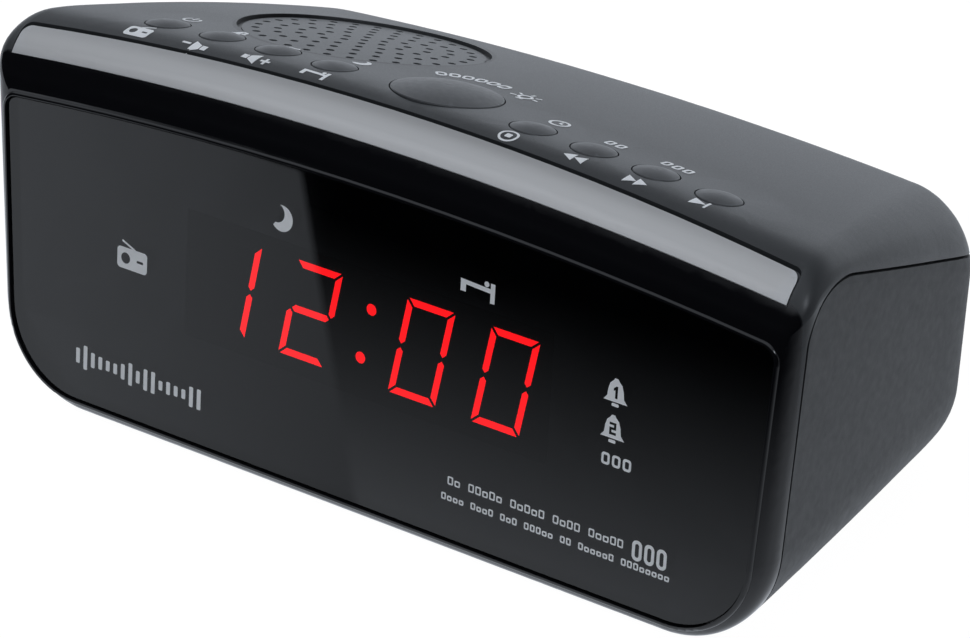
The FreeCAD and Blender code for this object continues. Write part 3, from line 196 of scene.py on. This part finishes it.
# ------------------------------------------------------------------ materials of the visible pieces
def two_part_cover():
    """The front and top moulding: satin on top, high gloss in front of the trim strip, with a painted
    shadow line round the grille's rim.
    """
    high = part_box("silver_trim_strip")[1]
    split = high[1] - SPLIT_FROM_STRIP
    n = Nodes("satin_top_gloss_front")
    separate = n.node("ShaderNodeSeparateXYZ", Vector=n.coords)
    x, y = separate.outputs[0], separate.outputs[1]
    bowed = n.math("ADD", y, n.math("MULTIPLY", n.math("MULTIPLY", x, x), SPLIT_BOW))
    front = n.ramp(bowed, split, split - 0.5 * MM)
    back = n.math("SUBTRACT", 1.0, front)
    grain = n.noise(0.28, detail=2.0)
    smear = n.noise(9.0, detail=5.0, stretch=(1.0, 0.35, 1.0))
    satin = n.mix(n.ramp(n.noise(25.0, detail=4.0), 0.3, 0.7), TOP_DARK, TOP_LIGHT)
    satin = n.mix(n.math("MULTIPLY", n.wear(), 0.3), satin, (0.14, 0.145, 0.15))
    # Painted shadow line: a thin near-black ring on the cover at the grille's rim.
    from_centre = n.node("ShaderNodeVectorMath", Vector=n.coords)
    from_centre.operation = "SUBTRACT"
    from_centre.inputs[1].default_value = GRILLE_CENTRE
    flat = n.node("ShaderNodeMapping", Vector=from_centre.outputs[0])
    flat.inputs["Scale"].default_value = (1.0, 1.0, 0.0)
    radius = n.tree.nodes.new("ShaderNodeVectorMath")
    radius.operation = "LENGTH"
    n.put(radius.inputs[0], flat.outputs[0])
    off_shadow_ring = n.math("ABSOLUTE", n.math("SUBTRACT", radius.outputs["Value"], GRILLE_RADIUS))
    satin = n.mix(n.ramp(off_shadow_ring, 0.8 * MM, 0.35 * MM, 0.0, 0.9), satin, (0.004, 0.004, 0.005))
    rough = n.math("ADD", n.math("MULTIPLY", n.ramp(grain, 0.3, 0.7, 0.38, 0.48), back),
                   n.math("MULTIPLY", n.ramp(smear, 0.35, 0.7, 0.04, 0.09), front))
    n.principled(Base_Color=n.mix(front, satin, GLOSS_BLACK), Roughness=rough, Coat_Weight=0.05,
                 Coat_Roughness=0.14, Normal=n.bump(n.math("MULTIPLY", grain, back), 0.010))
    return n.material


def smoked_window():
    """Smoked acrylic: dark tint over the display, mirror gloss with faint wipe marks.

    Tint and gloss are on its outer faces only. An inner face would mirror everything and hide the digits.
    """
    n = Nodes("smoked_acrylic")
    smear = n.noise(14.0, detail=6.0, stretch=(1.0, 1.0, 0.3))
    wiped = n.ramp(smear, 0.4, 0.8, 0.01, 0.03)
    glossy = n.node("ShaderNodeBsdfGlossy", Color=(1.0, 1.0, 1.0), Roughness=wiped)
    inside = n.tree.nodes.new("ShaderNodeNewGeometry").outputs["Backfacing"]
    tint = n.mix(inside, n.mix(n.noise(40.0), (0.10, 0.10, 0.105), (0.12, 0.12, 0.125)), (1.0, 1.0, 1.0))
    clear = n.node("ShaderNodeBsdfTransparent", Color=tint)
    fresnel = n.node("ShaderNodeFresnel", IOR=1.49)
    outside = n.math("SUBTRACT", 1.0, inside)
    mixed = n.node("ShaderNodeMixShader", Fac=n.math("MULTIPLY", fresnel.outputs[0], outside))
    n.tree.links.new(clear.outputs[0], mixed.inputs[1])
    n.tree.links.new(glossy.outputs[0], mixed.inputs[2])
    n.surface(mixed.outputs[0])
    return n.material


def silver_strip():
    """Satin silver lacquer with faint lengthwise grain, painted shade darkening it towards the back edge
    and a painted highlight along the front one.
    """
    n = Nodes("satin_silver_lacquer")
    low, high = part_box("silver_trim_strip")
    grain = n.noise(0.5, detail=4.0, stretch=(0.04, 1.0, 1.0))
    separate = n.node("ShaderNodeSeparateXYZ", Vector=n.coords)
    x, y = separate.outputs[0], separate.outputs[1]
    bowed = n.math("ADD", y, n.math("MULTIPLY", n.math("MULTIPLY", x, x), STRIP_BOW))
    # Painted shade: the colour darkens towards the back edge. Painted highlight: a paler strip along the
    # front edge. The darker colour also marks the grain.
    shade_and_grain_silver = tuple(c * 0.78 for c in SILVER)
    tone = n.mix(n.ramp(bowed, high[1], low[1] + 2.0 * MM), shade_and_grain_silver, SILVER)
    painted_highlight_edge = n.ramp(bowed, low[1] + 2.7 * MM, low[1] + 1.9 * MM)
    tone = n.mix(painted_highlight_edge, tone, tuple(c * 1.12 for c in SILVER))
    tone = n.mix(n.math("MULTIPLY", n.ramp(grain, 0.3, 0.7), 0.12), tone, shade_and_grain_silver)
    tone = n.mix(n.math("MULTIPLY", n.wear(), 0.4), tone, (0.6, 0.62, 0.64))
    n.principled(Base_Color=tone, Metallic=0.75, Roughness=n.ramp(n.noise(0.25), 0.3, 0.7, 0.34, 0.42),
                 Normal=n.bump(grain, 0.004))
    return n.material


def glowing(name, color, strength):
    """Light bar, slightly mottled by its diffuser."""
    n = Nodes(name)
    mottle = n.ramp(n.noise(1.2), 0.3, 0.7, strength * 0.85, strength)
    lamp = n.node("ShaderNodeEmission", Color=color, Strength=mottle)
    n.surface(lamp.outputs[0])
    return n.material


def board_green():
    n = Nodes("circuit_board_resist")
    tracks = n.tree.nodes.new("ShaderNodeTexVoronoi")
    tracks.feature = "DISTANCE_TO_EDGE"
    tracks.inputs["Scale"].default_value = 350.0
    n.put(tracks.inputs["Vector"], n.coords)
    copper = n.ramp(tracks.outputs["Distance"], 0.04, 0.05)
    tone = n.mix(copper, (0.30, 0.24, 0.10), (0.17, 0.13, 0.05))
    gloss = n.ramp(copper, 0.0, 1.0, 0.35, 0.5)
    n.principled(Base_Color=tone, Roughness=gloss, Normal=n.bump(copper, 0.03))
    return n.material


def winding():
    n = Nodes("coil_tape_wrap")
    wave = n.node("ShaderNodeTexWave", Vector=n.coords, Scale=90.0, Distortion=0.3)
    wave.bands_direction = "Z"
    tone = n.mix(wave.outputs[0], (0.62, 0.44, 0.08), (0.80, 0.62, 0.16))
    n.principled(Base_Color=tone, Roughness=0.32, Normal=n.bump(wave.outputs[0], 0.1))
    return n.material


def laminations():
    n = Nodes("core_laminations")
    wave = n.node("ShaderNodeTexWave", Vector=n.coords, Scale=600.0, Distortion=0.1)
    wave.bands_direction = "Y"
    tone = n.mix(wave.outputs[0], (0.10, 0.10, 0.11), (0.26, 0.26, 0.27))
    n.principled(Base_Color=tone, Metallic=0.9, Roughness=0.5, Normal=n.bump(wave.outputs[0], 0.05))
    return n.material


def ribbon():
    n = Nodes("ribbon_conductors")
    wave = n.node("ShaderNodeTexWave", Vector=n.coords, Scale=180.0)
    wave.bands_direction = "X"
    tone = n.mix(n.ramp(wave.outputs[0], 0.35, 0.65), (0.33, 0.34, 0.36), (0.55, 0.56, 0.58))
    n.principled(Base_Color=tone, Roughness=0.45, Normal=n.bump(wave.outputs[0], 0.15))
    return n.material


def dress_nodes():
    assign(two_part_cover(), "front_top_cabinet")
    rear = plastic("matt_textured_black", REAR_BLACK, 0.55, grain=0.42, depth=0.02, spec=0.45, drift=0.06)
    assign(rear, "rear_cabinet", "battery_door")
    assign(smoked_window(), "front_lens")
    assign(silver_strip(), "silver_trim_strip")
    buttons = [name for name in nodes if name.endswith("_button")]
    assign(plastic("satin_black_buttons", (0.052, 0.054, 0.057), 0.40, grain=0.3, depth=0.008), *buttons)
    plungers = [name for name in nodes if name.endswith("_plunger")]
    assign(plastic("ivory_plungers", (0.55, 0.52, 0.42), 0.4), *plungers)
    assign(plastic("switch_black", (0.03, 0.03, 0.03), 0.45), "key_switch_bodies", "main_board_chips")
    assign(board_green(), "key_board", "display_board", "main_board")
    assign(plastic("display_black", (0.006, 0.006, 0.006), 0.6), "display_housing")
    assign(glowing("lit_segment_red", SEGMENT_RED, 12.0), "lit_segments")
    assign(plastic("unlit_segment_red", (0.010, 0.004, 0.004), 0.5), "dark_segments")
    assign(plastic("lamp_resin_red", (0.08, 0.01, 0.01), 0.2), "indicator_lamps")
    screws = [name for name in nodes if name.endswith("_screws")]
    assign(metal("zinc_screws", (0.62, 0.62, 0.63), 0.3), *screws)
    assign(metal("tinned_steel", (0.70, 0.71, 0.72), 0.35), "tuner_shield", "transformer_bracket",
           "battery_contacts", "speaker_frame")
    assign(plastic("ferrite", (0.04, 0.04, 0.042), 0.7), "speaker_magnet")
    assign(plastic("cone_paper", (0.05, 0.05, 0.05), 0.9, grain=0.8, depth=0.05, spec=0.2),
           "speaker_cone")
    assign(plastic("capacitor_sleeve", (0.03, 0.05, 0.16), 0.25), "main_capacitors")
    assign(plastic("cell_sleeve", (0.10, 0.12, 0.14), 0.25), "backup_batteries")
    assign(laminations(), "transformer_core")
    assign(winding(), "transformer_coil")
    assign(ribbon(), "key_ribbon", "display_ribbon")
    assign(plastic("wire_sleeve_red", (0.35, 0.02, 0.02), 0.4), "speaker_wires")
    assign(plastic("cord_rubber", (0.022, 0.022, 0.023), 0.55, grain=0.6, depth=0.02),
           "mains_cord", "strain_relief", "fm_antenna_wire")
    assign(plastic("foot_rubber", (0.025, 0.025, 0.026), 0.8, grain=0.5, depth=0.03, spec=0.3),
           "rubber_feet")


# ------------------------------------------------------------------ flat drawing of the printed symbols
def rounded(cx, cy, width, height, radius, steps=5):
    radius = min(radius, width / 2, height / 2)
    points = []
    for sx, sy, start in ((1, 1, 0), (-1, 1, 90), (-1, -1, 180), (1, -1, 270)):
        for i in range(steps + 1):
            angle = math.radians(start + 90 * i / steps)
            points.append((cx + sx * (width / 2 - radius) + radius * math.cos(angle),
                           cy + sy * (height / 2 - radius) + radius * math.sin(angle)))
    return points


def on_circle(cx, cy, radius, angle):
    return cx + radius * math.cos(angle), cy + radius * math.sin(angle)


def circle(cx, cy, radius, steps=28):
    return [on_circle(cx, cy, radius, 2 * math.pi * i / steps) for i in range(steps)]


def stroke(x0, y0, x1, y1, width):
    length = math.hypot(x1 - x0, y1 - y0)
    nx, ny = -(y1 - y0) / length * width / 2, (x1 - x0) / length * width / 2
    return [(x0 + nx, y0 + ny), (x0 - nx, y0 - ny), (x1 - nx, y1 - ny), (x1 + nx, y1 + ny)]


def arc_band(cx, cy, radius, start, end, width, steps=24):
    angles = [math.radians(start + (end - start) * i / steps) for i in range(steps + 1)]
    outer = [on_circle(cx, cy, radius + width / 2, a) for a in angles]
    inner = [on_circle(cx, cy, radius - width / 2, a) for a in angles]
    return outer + inner[::-1]


def crescent(radius):
    outer = [on_circle(0, 0, radius, math.radians(a)) for a in range(-140, 101, 12)]
    start, end = Vector(outer[-1]), Vector(outer[0])
    centre = Vector((-0.48 * radius, 0.32 * radius))
    inner_radius = (start - centre).length
    a0 = math.atan2(start.y - centre.y, start.x - centre.x)
    a1 = math.atan2(end.y - centre.y, end.x - centre.x)
    inner = [on_circle(centre.x, centre.y, inner_radius, a0 + (a1 - a0) * i / 16) for i in range(1, 16)]
    return outer + inner


# A drawing is a list of layers; a layer is an outline followed by its holes, in millimetres.
def radio_symbol(width, height, lean=1):
    body = [rounded(0, 0, width, height, 0.9), circle(-width * 0.22, 0, height * 0.26),
            rounded(width * 0.26, 0, width * 0.22, 0.6, 0.2)]
    foot, tip = -width * 0.1 * lean, width * 0.34 * lean
    return [body, [stroke(foot, height / 2 - 0.1, tip, height / 2 + 1.5, 0.45)]]


def power_symbol(radius):
    return [[arc_band(0, 0, radius, 125, 415, 0.6)], [stroke(0, 0.2, 0, radius + 0.5, 0.6)]]


def speaker_symbol(flip):
    cone = [(-0.2 * flip, -0.8), (2.2 * flip, -2.1), (2.2 * flip, 2.1), (-0.2 * flip, 0.8)]
    return [[cone], [rounded(-1.25 * flip, 0, 1.5, 1.6, 0.1)]]


def minus_symbol():
    return [[rounded(0, 0, 2.3, 0.65, 0.1)]]


def plus_symbol():
    arm, half = 1.25, 0.33
    return [[[(-arm, -half), (-half, -half), (-half, -arm), (half, -arm), (half, -half), (arm, -half),
              (arm, half), (half, half), (half, arm), (-half, arm), (-half, half), (-arm, half)]]]


def bell_symbol(size, mark):
    """Alarm bell with a one or a two cut out of it."""
    s = size / 5.0
    right = [(0.35, 2.5), (0.6, 2.1), (1.25, 1.5), (1.6, 0.4), (1.75, -0.9), (2.5, -1.8)]
    outline = [(x * s, y * s) for x, y in right] + [(-x * s, y * s) for x, y in right[::-1]]
    one = [(-0.55, 0.7), (0.1, 1.25), (0.45, 1.25), (0.45, -1.3), (-0.15, -1.3), (-0.15, 0.4),
           (-0.55, 0.2)]
    two = [(-0.8, 1.25), (0.8, 1.25), (0.8, -0.25), (-0.25, -0.25), (-0.25, -0.75), (0.8, -0.75),
           (0.8, -1.3), (-0.8, -1.3), (-0.8, 0.25), (0.25, 0.25), (0.25, 0.75), (-0.8, 0.75)]
    digit = [(x * s * 0.9, y * s * 0.9) for x, y in (one if mark == 1 else two)]
    return [[outline, digit], [rounded(0, -2.35 * s, 1.5 * s, 0.6 * s, 0.25 * s)]]


def bed_symbol(scale):
    post = [(-3.6, 1.0), (2.7, 0.7), (2.7, -0.1), (-2.5, 0.15), (-2.5, -1.2), (-3.6, -1.2)]
    head = [(2.6, 1.7), (3.5, 1.7), (3.5, -1.8), (2.6, -1.8)]
    pillow = circle(1.75, 1.35, 0.5)
    return [[[(x * scale, y * scale) for x, y in loop]] for loop in (post, head, pillow)]


def dashes(widths, height, gap, wall):
    """Row of small hollow blocks standing in for lettering."""
    total = sum(widths) + gap * (len(widths) - 1)
    x = -total / 2
    layers = []
    for width in widths:
        block = rounded(x + width / 2, 0, width, height, height * 0.25)
        hole = rounded(x + width / 2, 0, width - 2 * wall, height - 2 * wall, height * 0.12)
        layers.append([block, hole])
        x += width + gap
    return layers


def words(lengths, pitch, height):
    """Line of lettering-like blocks, tall and short, with gaps between the groups."""
    total = (sum(lengths) + len(lengths) - 1) * pitch
    x = -total / 2 + pitch / 2
    layers = []
    for length in lengths:
        for i in range(length):
            tall = height if i == 0 or rng.random() < 0.3 else height * 0.74
            block = rounded(x, (tall - height) / 2, pitch * 0.8, tall, 0.3, steps=2)
            hole = rounded(x, (tall - height) / 2, pitch * 0.8 - 0.7, tall - 0.7, 0.1, steps=2)
            layers.append([block, hole])
            x += pitch
        x += pitch
    return layers


def arc_dashes(radius, start, end, count, width, height):
    """The same along an arc, from one angle to the other."""
    layers = []
    for i in range(count):
        angle = math.radians(start + (end - start) * i / (count - 1))
        block = rounded(0, 0, width, height, height * 0.3)
        hole = rounded(0, 0, width - 1.1, height - 1.7, height * 0.15)
        cosine, sine = math.cos(angle - math.pi / 2), math.sin(angle - math.pi / 2)
        cx, cy = on_circle(0, 0, radius, angle)
        layers.append([[(cx + x * cosine - y * sine, cy + x * sine + y * cosine) for x, y in loop]
                       for loop in (block, hole)])
    return layers


def lamp_symbol():
    rays = [[stroke(*on_circle(0, 0, 2.2, a), *on_circle(0, 0, 3.6, a), 0.55)]
            for a in (math.radians(t) for t in (-10, 35, 90, 145, 190))]
    return [[circle(0, 0, 1.8), circle(0, 0, 1.15)]] + rays + [[rounded(0, -2.25, 1.8, 0.7, 0.1)]]


def dot_ring_symbol():
    return [[circle(0, 0, 2.3), circle(0, 0, 1.75)], [rounded(0, 0, 1.5, 1.5, 0.3)]]


def clock_symbol():
    hands = [[stroke(0, 0, 0, 1.4, 0.5)], [stroke(0, 0, 1.1, -0.35, 0.5)]]
    return [[circle(0, 0, 2.4), circle(0, 0, 1.75)]] + hands


def seek_symbol(direction):
    layers = []
    for shift in (-1.35, 1.35):
        back, tip = direction * (shift - 1.3), direction * (shift + 1.3)
        layers.append([[(back, -1.5), (tip, 0), (back, 1.5)]])
    return layers


def next_symbol():
    return [[[(-2.2, -1.5), (1.2, 0), (-2.2, 1.5)]], [rounded(1.5, 0, 0.6, 2.8, 0.1)]]


def sound_bars(width, height, count):
    """Row of upright bars of changing height, like a level meter."""
    pitch = width / count
    layers = []
    for i in range(count):
        level = 0.35 + 0.65 * abs(math.sin(1.1 * i + 0.4) * math.cos(0.37 * i))
        layers.append([rounded(-width / 2 + pitch * (i + 0.5), 0, pitch * 0.5, height * level, 0.3)])
    return layers


# ------------------------------------------------------------------ printing them on the CAD surfaces
def surface_of(name):
    mesh = nodes[name].data
    corners = [v.co.copy() for v in mesh.vertices]
    return BVHTree.FromPolygons(corners, [p.vertices[:] for p in mesh.polygons])


def flat_mesh(layers, cell):
    """Triangulated drawing, cut into cells so that it can follow a curved surface."""
    flat = bmesh.new()
    for layer in layers:
        curve = bpy.data.curves.new("outline", "CURVE")
        curve.dimensions = "2D"
        curve.fill_mode = "BOTH"
        for loop in layer:
            spline = curve.splines.new("POLY")
            spline.points.add(len(loop) - 1)
            for point, (x, y) in zip(spline.points, loop):
                point.co = (x, y, 0, 1)
            spline.use_cyclic_u = True
        holder = bpy.data.objects.new("outline", curve)
        mesh = bpy.data.meshes.new_from_object(holder)
        flat.from_mesh(mesh)
        bpy.data.objects.remove(holder)
        bpy.data.curves.remove(curve)
        bpy.data.meshes.remove(mesh)
    xs = [v.co.x for v in flat.verts]
    ys = [v.co.y for v in flat.verts]
    for axis, low, high in ((0, min(xs), max(xs)), (1, min(ys), max(ys))):
        normal = [0, 0, 0]
        normal[axis] = 1
        position = low + cell
        while position < high:
            point = [0, 0, 0]
            point[axis] = position
            geometry = flat.verts[:] + flat.edges[:] + flat.faces[:]
            bmesh.ops.bisect_plane(flat, geom=geometry, plane_co=point, plane_no=normal)
            position += cell
    bmesh.ops.triangulate(flat, faces=flat.faces[:])
    return flat


def printed(name, layers, origin, across, up, surface, body, material, cell, lift=0.03, thick=0.05):
    """Closed, very thin print: the drawing is thrown along up x across onto the surface."""
    flat = flat_mesh(layers, cell)
    toward = Vector(across).cross(Vector(up)).normalized()
    for v in flat.verts:
        start = Vector(origin) + Vector(across) * v.co.x * MM + Vector(up) * v.co.y * MM
        hit, normal, _, _ = surface.ray_cast(start + toward * 0.05, -toward)
        if hit is None:
            hit, normal, _, _ = surface.find_nearest(start)
        if normal.dot(toward) < 0:
            normal = -normal
        v.co = hit + normal * lift * MM
    bmesh.ops.recalc_face_normals(flat, faces=flat.faces[:])
    flat.normal_update()
    if sum(f.normal.dot(toward) * f.calc_area() for f in flat.faces) < 0:
        bmesh.ops.reverse_faces(flat, faces=flat.faces[:])
    mesh = bpy.data.meshes.new(name)
    flat.to_mesh(mesh)
    flat.free()
    piece = bpy.data.objects.new(name, mesh)
    bpy.context.scene.collection.objects.link(piece)
    solid = piece.modifiers.new("thickness", "SOLIDIFY")
    solid.thickness = thick * MM
    solid.offset = 1.0
    piece.data.materials.append(material)
    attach(piece, body)


def apex(name, axis):
    """The point of a button's dome that is furthest out."""
    return max((v.co.copy() for v in nodes[name].data.vertices), key=lambda co: co.dot(axis))


def top_prints(ink):
    """Symbols round the buttons; offsets are millimetres from the top of each button's dome."""
    cover = surface_of("front_top_cabinet")
    out = Vector((0, 0.22, 0.97))

    def put(name, layers, place):
        printed(name, layers, place, (1, 0, 0), (0, 1, 0), cover, "cabinet", ink, cell=0.8)

    drawings = {
        "radio_power_button": (("print_radio", radio_symbol(6.6, 3.8), -2.0, -9.1),
                               ("print_power", power_symbol(1.9), -1.9, 8.6)),
        "volume_down_button": (("print_minus", minus_symbol(), -3.2, -9.0),
                               ("print_speaker_down", speaker_symbol(-1), 0.8, -9.6),
                               ("print_bell_one", bell_symbol(4.0, 1), -0.9, 6.9)),
        "volume_up_button": (("print_speaker_up", speaker_symbol(1), -1.6, -8.4),
                             ("print_plus", plus_symbol(), 2.8, -8.6),
                             ("print_bell_two", bell_symbol(4.0, 2), -0.6, 6.3)),
        "sleep_button": (("print_bed", bed_symbol(0.95), 0.2, -7.9),
                         ("print_moon", [[crescent(2.1)]], 0.0, 8.3)),
        "memory_clock_button": (("print_dot_ring", dot_ring_symbol(), 0.3, -8.1),
                                ("print_clock", clock_symbol(), 0.6, 9.2)),
        "hour_button": (("print_seek_back", seek_symbol(-1), 1.0, -7.6),
                        ("print_hour_mark", dashes((2.0, 2.0), 3.0, 0.7, 0.6), 0.2, 8.1)),
        "minute_button": (("print_seek_on", seek_symbol(1), 1.1, -7.9),
                          ("print_minute_mark", dashes((2.0, 2.0, 2.0), 3.0, 0.7, 0.6), 0.2, 8.1)),
        "preset_button": (("print_next", next_symbol(), 1.2, -6.6),),
    }
    for button, prints in drawings.items():
        centre = apex(button, out)
        for name, layers, dx, dy in prints:
            put(name, layers, centre + Vector((dx, dy, 0)) * MM)
    centre = apex("snooze_button", out)
    put("print_snooze_arc", arc_dashes(17.6, 133, 85, 6, 2.5, 3.6), centre)
    put("print_lamp", lamp_symbol(), centre + Vector((9.2, 14.8, 0)) * MM)


def window_prints(ink):
    """Symbols on the window; x from its middle and z from its lower edge, in millimetres."""
    window = surface_of("front_lens")
    low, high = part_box("front_lens")
    middle = (low[0] + high[0]) / 2
    base = low[2]

    def put(name, layers, x, z):
        place = (middle + x * MM, low[1], base + z * MM)
        printed(name, layers, place, (1, 0, 0), (0, 0, 1), window, "cabinet", ink, cell=6.0,
                lift=0.01, thick=0.04)

    put("print_window_radio", radio_symbol(8.6, 5.0, lean=-1), -65.1, 38.0)
    put("print_window_moon", [[crescent(3.0)]], -23.6, 59.5)
    put("print_window_bed", bed_symbol(1.25), 29.0, 58.6)
    put("print_window_bell_one", bell_symbol(6.0, 1), 65.1, 46.4)
    put("print_window_bell_two", bell_symbol(6.0, 2), 64.9, 38.3)
    put("print_window_snooze", dashes((2.1, 2.1, 2.1), 2.7, 0.6, 0.55), 66.3, 31.3)
    put("print_window_level_bars", sound_bars(37.5, 6.0, 17), -62.6, 10.9)
    put("print_window_line_one", words((2, 5, 5, 4, 5), 1.84, 1.9), 46.6, 13.7)
    put("print_window_line_two", words((4, 4, 3, 5, 2, 6, 8), 1.56, 1.6), 51.8, 9.8)
    put("print_window_mark", dashes((2.5, 2.5, 2.5), 4.6, 0.6, 0.75), 76.0, 13.4)


# ------------------------------------------------------------------ studio
def sweep_floor():
    """Pale seamless floor that reads as plain white."""
    flat = bmesh.new()
    bmesh.ops.create_grid(flat, x_segments=12, y_segments=12, size=FLOOR_HALF_SIZE)
    mesh = bpy.data.meshes.new("studio_floor")
    flat.to_mesh(mesh)
    flat.free()
    floor = bpy.data.objects.new("studio_floor", mesh)
    bpy.context.scene.collection.objects.link(floor)
    n = Nodes("pale_floor")
    faint = n.ramp(n.noise(300.0), 0.3, 0.7, 0.985, 1.0)
    path = n.tree.nodes.new("ShaderNodeLightPath")
    seen, scattered = path.outputs["Is Camera Ray"], path.outputs["Is Diffuse Ray"]
    x = n.node("ShaderNodeSeparateXYZ", Vector=n.coords).outputs[0]
    dimmed = n.math("MULTIPLY", n.math("SUBTRACT", FLOOR_MIRRORED,
                                       n.math("MULTIPLY", scattered, FLOOR_SCATTER_CUT)),
                    n.ramp(x, 0.11, 0.30, 1.0, 0.2))
    level = n.math("MAXIMUM", n.math("MULTIPLY", seen, FLOOR_SEEN), dimmed)
    colour = n.mix(seen, STUDIO_TINT, (1.0, 1.0, 1.0))
    glow = n.node("ShaderNodeEmission", Color=colour, Strength=n.math("MULTIPLY", faint, level))
    matt = n.node("ShaderNodeBsdfDiffuse", Color=(0.08, 0.08, 0.08))
    both = n.tree.nodes.new("ShaderNodeAddShader")
    n.tree.links.new(glow.outputs[0], both.inputs[0])
    n.tree.links.new(matt.outputs[0], both.inputs[1])
    clear = n.tree.nodes.new("ShaderNodeBsdfTransparent")
    below = n.tree.nodes.new("ShaderNodeNewGeometry").outputs["Backfacing"]
    one_sided = n.node("ShaderNodeMixShader", Fac=below)
    n.tree.links.new(both.outputs[0], one_sided.inputs[1])
    n.tree.links.new(clear.outputs[0], one_sided.inputs[2])
    n.surface(one_sided.outputs[0])
    floor.data.materials.append(n.material)
    floor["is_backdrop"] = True


def dark_card():
    """Black card lying in front, seen only in the glossy window and frame.

    Right of a slanting edge it closes gradually away from the radio; left of it the floor shows
    through, a little darker towards the edge.
    """
    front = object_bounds()[0][1]
    edge = [(-CARD_REACH, front), (-CARD_REACH, -CARD_REACH), (CARD_REACH, -CARD_REACH),
            (CARD_REACH, front)]
    flat = bmesh.new()
    flat.faces.new([flat.verts.new((x, y, 0.0005)) for x, y in edge])
    mesh = bpy.data.meshes.new("dark_card")
    flat.to_mesh(mesh)
    flat.free()
    card = bpy.data.objects.new("dark_card", mesh)
    bpy.context.scene.collection.objects.link(card)
    n = Nodes("dark_card")
    separate = n.node("ShaderNodeSeparateXYZ", Vector=n.coords)
    x, y = separate.outputs[0], separate.outputs[1]
    edge_x = n.math("ADD", n.math("MULTIPLY", y, CARD_SLOPE), 0.002 - CARD_SLOPE * front)
    left = n.math("SUBTRACT", edge_x, x)
    fading = n.math("POWER", n.ramp(y, front - CARD_FADE, front), 1.6)
    beside = n.ramp(left, 0.0, 0.085, 0.62, 0.95)
    is_left = n.ramp(left, 0.0, 0.003)
    through = n.math("ADD", n.math("MULTIPLY", beside, is_left),
                     n.math("MULTIPLY", fading, n.math("SUBTRACT", 1.0, is_left)))
    through = n.math("MULTIPLY", through, n.ramp(y, front - LEFT_FADE, front - LEFT_FADE + 0.004))
    cover = n.math("SUBTRACT", 1.0, through)
    clear = n.tree.nodes.new("ShaderNodeBsdfTransparent")
    black = n.node("ShaderNodeEmission", Color=(0.004, 0.005, 0.006), Strength=1.0)
    mixed = n.node("ShaderNodeMixShader", Fac=cover)
    n.tree.links.new(clear.outputs[0], mixed.inputs[1])
    n.tree.links.new(black.outputs[0], mixed.inputs[2])
    n.surface(mixed.outputs[0])
    card.data.materials.append(n.material)
    card.visible_camera = False
    card.visible_diffuse = False
    card.visible_shadow = False
    card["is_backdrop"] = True


def sky():
    """Soft white studio: bright behind, softer overhead, dark low in front, with one small lamp."""
    world = bpy.data.worlds.new("studio")
    bpy.context.scene.world = world
    world.use_nodes = True
    tree = world.node_tree
    tree.nodes.clear()

    def math_node(operation, a, b=0.0):
        made = tree.nodes.new("ShaderNodeMath")
        made.operation = operation
        for socket, value in zip(made.inputs, (a, b)):
            if isinstance(value, bpy.types.NodeSocket):
                tree.links.new(value, socket)
            else:
                socket.default_value = value
        return made.outputs[0]

    def ramp(value, low, high, to_low, to_high):
        made = tree.nodes.new("ShaderNodeMapRange")
        made.interpolation_type = "SMOOTHSTEP"
        tree.links.new(value, made.inputs["Value"])
        limits = {"From Min": low, "From Max": high, "To Min": to_low, "To Max": to_high}
        for key, number in limits.items():
            made.inputs[key].default_value = number
        return made.outputs[0]

    direction = tree.nodes.new("ShaderNodeTexCoord").outputs["Generated"]
    split = tree.nodes.new("ShaderNodeSeparateXYZ")
    tree.links.new(direction, split.inputs[0])
    x, y, z = split.outputs
    behind = ramp(y, -0.15, 0.25, 0.0, 1.0)
    back_light = ramp(z, 0.05, 0.9, 0.9, 0.33)
    front_light = ramp(z, 0.30, 0.60, 0.012, 0.75)
    light = math_node("ADD", math_node("MULTIPLY", behind, back_light),
                      math_node("MULTIPLY", math_node("SUBTRACT", 1.0, behind), front_light))
    right_side = ramp(x, 0.0, 0.7, 1.0, 0.45)
    aim = Vector(SPOT_AIM).normalized()
    facing = math_node("MULTIPLY", x, aim.x)
    facing = math_node("ADD", facing, math_node("MULTIPLY", y, aim.y))
    facing = math_node("ADD", facing, math_node("MULTIPLY", z, aim.z))
    spot = ramp(facing, 0.990, 0.995, 0.0, SPOT_STRENGTH)
    light = math_node("ADD", math_node("MULTIPLY", light, right_side), spot)
    seen = tree.nodes.new("ShaderNodeLightPath").outputs["Is Camera Ray"]
    strength = math_node("MAXIMUM", light, seen)
    background = tree.nodes.new("ShaderNodeBackground")
    colour = tree.nodes.new("ShaderNodeMix")
    colour.data_type = "RGBA"
    tree.links.new(seen, colour.inputs[0])
    colour.inputs[6].default_value = (*STUDIO_TINT, 1.0)
    colour.inputs[7].default_value = (1.0, 1.0, 1.0, 1.0)
    tree.links.new(colour.outputs[2], background.inputs["Color"])
    tree.links.new(strength, background.inputs["Strength"])
    output = tree.nodes.new("ShaderNodeOutputWorld")
    tree.links.new(background.outputs[0], output.inputs["Surface"])


def camera():
    """Long lens from the front right and above."""
    data = bpy.data.cameras.new("view")
    data.sensor_width = 36.0
    data.lens = LENS_MM
    data.shift_x, data.shift_y = LENS_SHIFT
    data.clip_start = 0.05
    eye = bpy.data.objects.new("view", data)
    place = Vector(EYE_MM) * MM
    target = Vector(AIM_MM) * MM
    eye.location = place
    eye.rotation_euler = (target - place).to_track_quat("-Z", "Y").to_euler()
    bpy.context.scene.collection.objects.link(eye)
    bpy.context.scene.camera = eye


dress_nodes()
top_prints(plastic("top_print_ink", TOP_PRINT, 0.5, grain=0.2, depth=0.004, drift=0.05))
window_prints(plastic("window_print_ink", WINDOW_PRINT, 0.5, grain=0.2, depth=0.004, drift=0.05))
sweep_floor()
dark_card()
sky()
camera()
bpy.context.scene.view_settings.view_transform = "Standard"
